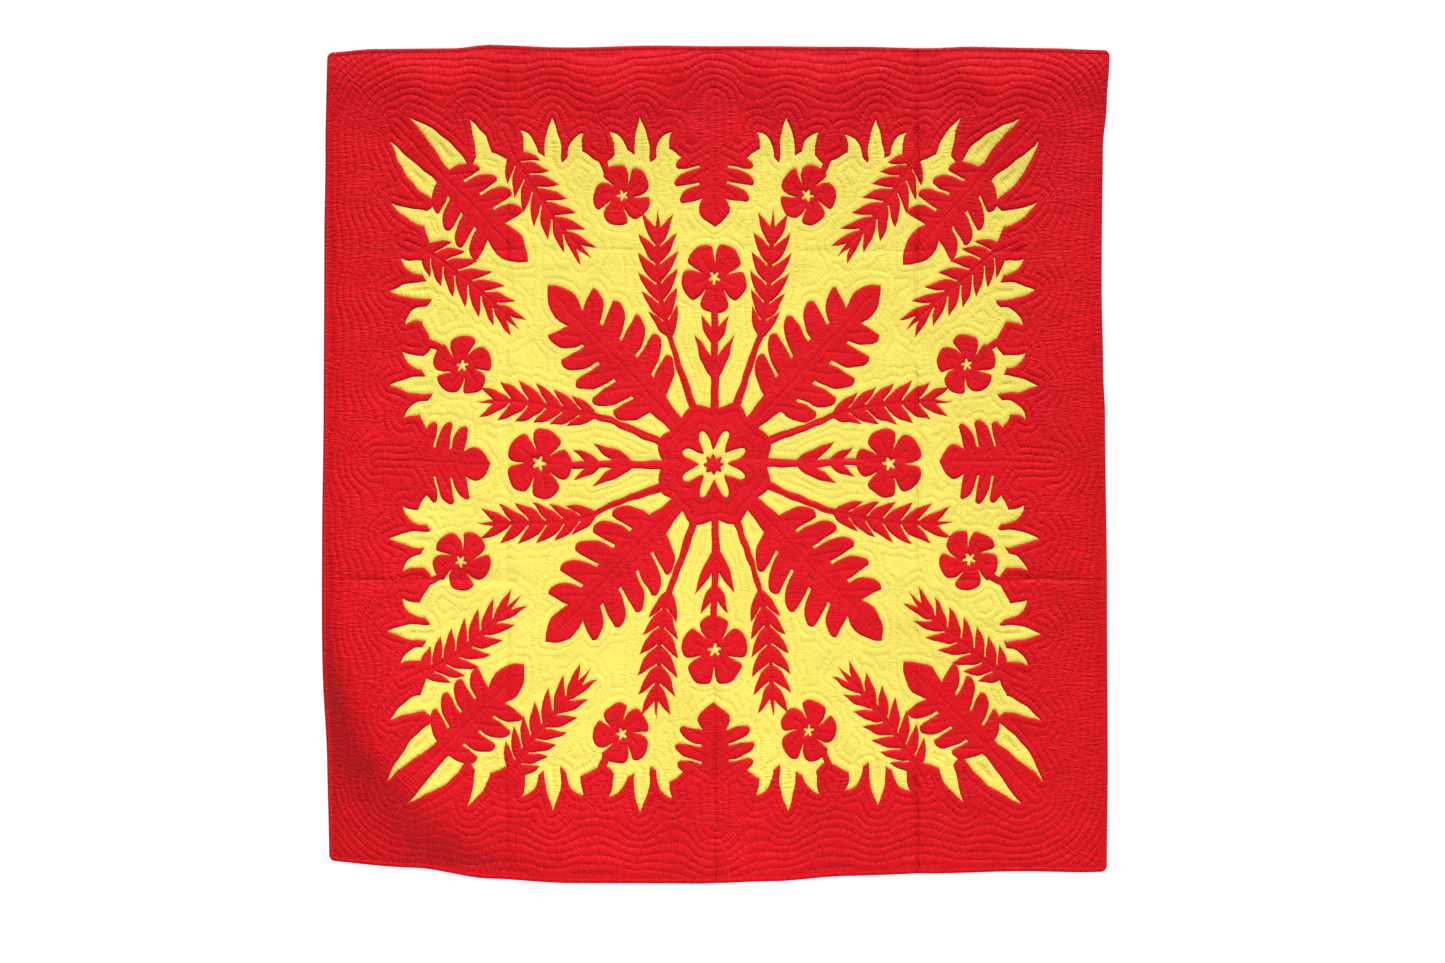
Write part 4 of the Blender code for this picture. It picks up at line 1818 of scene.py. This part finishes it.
class StitchTree:
    """The geometry nodes that lay running stitches along lines."""

    name: str = "running_stitches"
    length: float = 0.0036
    thickness: float = 0.0006
    swing: tuple[float, float] = (0.75, 1.15)
    sides: int = 3
    rings: int = 2

    def __init__(self) -> None:
        """Builds the tree with its named inputs."""
        tree = bpy.data.node_groups.new(self.name, "GeometryNodeTree")
        face = tree.interface
        face.new_socket("Lines", in_out="INPUT", socket_type="NodeSocketGeometry")
        sizes = {"Pitch": STITCH_PITCH, "Length": self.length, "Thickness": self.thickness}
        for socket, value in sizes.items():
            face.new_socket(socket, in_out="INPUT", socket_type="NodeSocketFloat").default_value = value
        face.new_socket("Thread", in_out="INPUT", socket_type="NodeSocketMaterial")
        face.new_socket("Seed", in_out="INPUT", socket_type="NodeSocketInt").default_value = 1
        face.new_socket("Stitches", in_out="OUTPUT", socket_type="NodeSocketGeometry")
        self.tree = tree
        self.build()

    def build(self) -> None:
        """Lines to curves, a point for each stitch, and a slim spindle along the line at each point."""
        make = NodeMaker(self.tree)
        given = make.add("NodeGroupInput").outputs
        curves = make.add("GeometryNodeMeshToCurve", {"Mesh": given["Lines"]})
        evened = make.add(
            "GeometryNodeResampleCurve", {"Curve": curves.outputs[0], "Length": given["Pitch"]}, mode="LENGTH"
        )
        along = make.add("GeometryNodeInputTangent")
        turned = make.add("FunctionNodeAlignRotationToVector", {"Vector": along.outputs[0]}, axis="Z")
        spindle = make.add(
            "GeometryNodeMeshUVSphere", {"Segments": self.sides, "Rings": self.rings, "Radius": 0.5}
        )
        swing = make.add(
            "FunctionNodeRandomValue",
            {2: self.swing[0], 3: self.swing[1], "Seed": given["Seed"]},
            data_type="FLOAT",
        )
        length = make.math("MULTIPLY", given["Length"], swing.outputs[1])
        size = make.add(
            "ShaderNodeCombineXYZ", {"X": given["Thickness"], "Y": given["Thickness"], "Z": length}
        )
        laid = make.add(
            "GeometryNodeInstanceOnPoints",
            {
                "Points": evened.outputs[0],
                "Instance": spindle.outputs[0],
                "Rotation": turned.outputs[0],
                "Scale": size.outputs[0],
            },
        )
        real = make.add("GeometryNodeRealizeInstances", {"Geometry": laid.outputs[0]})
        dyed = make.add(
            "GeometryNodeSetMaterial", {"Geometry": real.outputs[0], "Material": given["Thread"]}
        )
        make.add("NodeGroupOutput", {0: dyed.outputs[0]})

    def socket(self, name: str) -> str:
        """The identifier of a named input."""
        return next(item.identifier for item in self.tree.interface.items_tree if item.name == name)


@dataclass(frozen=True)
class Stitching:
    """The running stitches of the quilting."""

    hung: HungCloth
    hand: Handwork
    maker: PieceMaker
    pattern: CutPattern
    lift: float = 0.0002
    shortest: float = 0.030

    def lines(self, cloth: Cloth, runs: list[np.ndarray]) -> list[np.ndarray]:
        """The stretches of the drawn eighth's runs that lie on one cloth, clear of its edges."""
        found = []
        for run in runs:
            middle = (run[1:] + run[:-1]) / 2
            keep = in_wedge(middle) & (middle.real < SEAM_HALF)
            keep &= self.pattern.is_applique(middle) == (cloth is Cloth.APPLIQUE)
            bounds = np.flatnonzero(np.diff(np.concatenate([[0], keep.astype(int), [0]])))
            for first, last in zip(bounds[::2], bounds[1::2]):
                stretch = run[first:last + 1]
                if np.abs(np.diff(stretch)).sum() > self.shortest:
                    found.append(stretch)
        return found

    def piece(
        self, name: str, cloth: Cloth, runs: list[np.ndarray], finish: CottonFinish
    ) -> bpy.types.Object:
        """All the stitches on one cloth as one piece.

        Args:
            name: The piece's name.
            cloth: The cloth that is stitched.
            runs: The stitched lines of the drawn eighth.
            finish: The thread's finish.

        Returns:
            The piece.
        """
        proud = VALLEY_PROUD + self.lift + (APPLIQUE_RISE if cloth is Cloth.APPLIQUE else 0.0)
        points, edges = [], []
        for line in self.lines(cloth, runs):
            for quarter in range(4):
                for image in (line, line.conjugate()):
                    flat = image * 1j**quarter
                    rise = proud + self.hand.swells(flat)
                    first = len(points)
                    points += self.hung.points(self.hand.shift(flat), rise).tolist()
                    edges += [(k, k + 1) for k in range(first, len(points) - 1)]
        mesh = bpy.data.meshes.new(f"{name}_lines")
        mesh.from_pydata(points, edges, [])
        source = placed(f"{name}_lines", mesh)
        tree = StitchTree()
        modifier = source.modifiers.new("stitches", "NODES")
        modifier.node_group = tree.tree
        modifier[tree.socket("Thread")] = self.maker.material(finish)
        bpy.context.view_layer.update()
        graph = bpy.context.evaluated_depsgraph_get()
        stitched = bpy.data.meshes.new_from_object(source.evaluated_get(graph))
        stitched.name = name
        piece = placed(name, stitched)
        bpy.data.objects.remove(source)
        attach(piece, BODY)
        LOG.info("%s: %d faces", name, len(stitched.polygons))
        return piece


@dataclass(frozen=True)
class Studio:
    """The floor, the lights and the camera."""

    camera_at: tuple[float, float, float] = (0.020, -6.2, -1.092)
    view_width: float = 3.6226
    sensor: float = 36.0
    floor_z: float = -4.80
    floor_half: float = 2.3
    floor_depth: float = 1.9
    floor_grey: float = 0.80
    floor_roughness: float = 0.9
    front: float = 0.10
    rear: float = 0.35
    front_to_rear: tuple[float, float] = (-0.1, 0.5)
    backdrop: float = 1.05
    key_way: tuple[float, float, float] = (0.10, -0.50, 0.86)
    key_strength: float = 4.65
    rear_way: tuple[float, float, float] = (0.25, 0.55, 0.80)
    rear_strength: float = 4.0
    sun_spread: float = 12.0
    fill_at: tuple[float, float, float] = (-0.30, -2.3, -1.15)
    fill_side: float = 1.0
    fill_power: float = 13.0

    def floor(self) -> None:
        """A plain pale floor below the hanging."""
        mesh = bpy.data.meshes.new("floor")
        half, depth, z = self.floor_half, self.floor_depth, self.floor_z
        corners = [(-half, -depth, z), (half, -depth, z), (half, depth, z), (-half, depth, z)]
        mesh.from_pydata(corners, [], [(0, 1, 2, 3)])
        material = bpy.data.materials.new("floor_pale")
        material.use_nodes = True
        shader = material.node_tree.nodes["Principled BSDF"]
        shader.inputs["Base Color"].default_value = (*[self.floor_grey] * 3, 1.0)
        shader.inputs["Roughness"].default_value = self.floor_roughness
        mesh.materials.append(material)
        floor = placed("floor", mesh)

    def world(self) -> None:
        """An even white surround, which lights the cloth only softly."""
        world = bpy.data.worlds.new("surround")
        world.use_nodes = True
        tree = world.node_tree
        make = NodeMaker(tree)
        way = make.add("ShaderNodeSeparateXYZ", {0: make.add("ShaderNodeTexCoord").outputs["Generated"]})
        light = make.ranged(way.outputs["Y"], self.front_to_rear, (self.front, self.rear), eased=True)
        seen = make.math("MULTIPLY", make.add("ShaderNodeLightPath").outputs["Is Camera Ray"], self.backdrop)
        strength = make.math("MAXIMUM", light, seen)
        tree.links.new(strength, tree.nodes["Background"].inputs["Strength"])
        tree.nodes["Background"].inputs["Color"].default_value = (1.0, 1.0, 1.0, 1.0)
        bpy.context.scene.world = world

    def sun(self, name: str, toward: tuple[float, float, float], strength: float, spread: float) -> None:
        """A far, broad lamp that lights the whole face evenly.

        Args:
            name: The lamp's name.
            toward: The way from the quilt to the lamp.
            strength: Its strength.
            spread: How many degrees it spans, seen from the quilt.
        """
        data = bpy.data.lights.new(name, "SUN")
        data.energy = strength
        data.angle = math.radians(spread)
        lamp = placed(name, data)
        lamp.rotation_euler = Vector(toward).to_track_quat("Z", "Y").to_euler()

    def panel(self, name: str, place: tuple[float, float, float], side: float, power: float) -> None:
        """A soft square lamp that faces the quilt, unseen itself.

        Args:
            name: The lamp's name.
            place: Where its middle stands.
            side: The length of its sides.
            power: Its power in watts.
        """
        data = bpy.data.lights.new(name, "AREA")
        data.energy = power
        data.size = side
        lamp = placed(name, data)
        lamp.location = place
        lamp.rotation_euler = (math.radians(90), 0.0, 0.0)
        lamp.visible_camera = False

    def camera(self) -> None:
        """The camera, level and square to the face, with the photograph's frame."""
        data = bpy.data.cameras.new("camera")
        data.sensor_width = self.sensor
        data.lens = self.sensor * -self.camera_at[1] / self.view_width
        camera = placed("camera", data)
        camera.location = self.camera_at
        camera.rotation_euler = (math.radians(90), 0.0, 0.0)
        bpy.context.scene.camera = camera

    def build(self) -> None:
        """Sets it all up."""
        self.floor()
        self.world()
        self.sun("key", self.key_way, self.key_strength, self.sun_spread)
        self.sun("rear", self.rear_way, self.rear_strength, self.sun_spread)
        self.panel("fill", self.fill_at, self.fill_side, self.fill_power)
        self.camera()
        bpy.context.scene.view_settings.view_transform = "Standard"


def main() -> None:
    """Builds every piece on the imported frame."""
    logging.basicConfig(level=logging.INFO, format="%(message)s")
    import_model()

    pattern = CutPattern(FoldedPattern().motifs())
    LOG.info("outline edges in an eighth: %d", len(pattern.outlines))
    echoes = EchoField(pattern)
    fine = echoes.contours(FINE_PHASES, FINE_STEP)
    coarse = echoes.contours(COARSE_PHASES, COARSE_STEP)
    face = QuiltSheet.drawn(pattern, echoes, fine, FINE_STEP)
    behind = QuiltSheet.drawn(pattern, echoes, coarse, COARSE_STEP)

    hung, hand, maker = HungCloth(), Handwork(), PieceMaker()
    cloths = QuiltCloths(hung, hand, maker)
    applique = cloths.applique(face)
    ground = cloths.ground(face, behind)
    back = cloths.back(behind)
    binding = Binding(hung, maker)
    for side in range(len(SIDES)):
        binding.strip(side)
    stitching = Stitching(hung, hand, maker, pattern)
    runs = fine[FINE_PHASES[0]] + [np.array(vein) for vein in pattern.veins]
    red_stitches = stitching.piece("stitches_red", Cloth.APPLIQUE, runs, RED_THREAD)
    yellow_stitches = stitching.piece("stitches_yellow", Cloth.GROUND, runs, YELLOW_THREAD)

    face.part(face.applique).area()

    Studio().build()


if __name__ == "__main__":
    main()
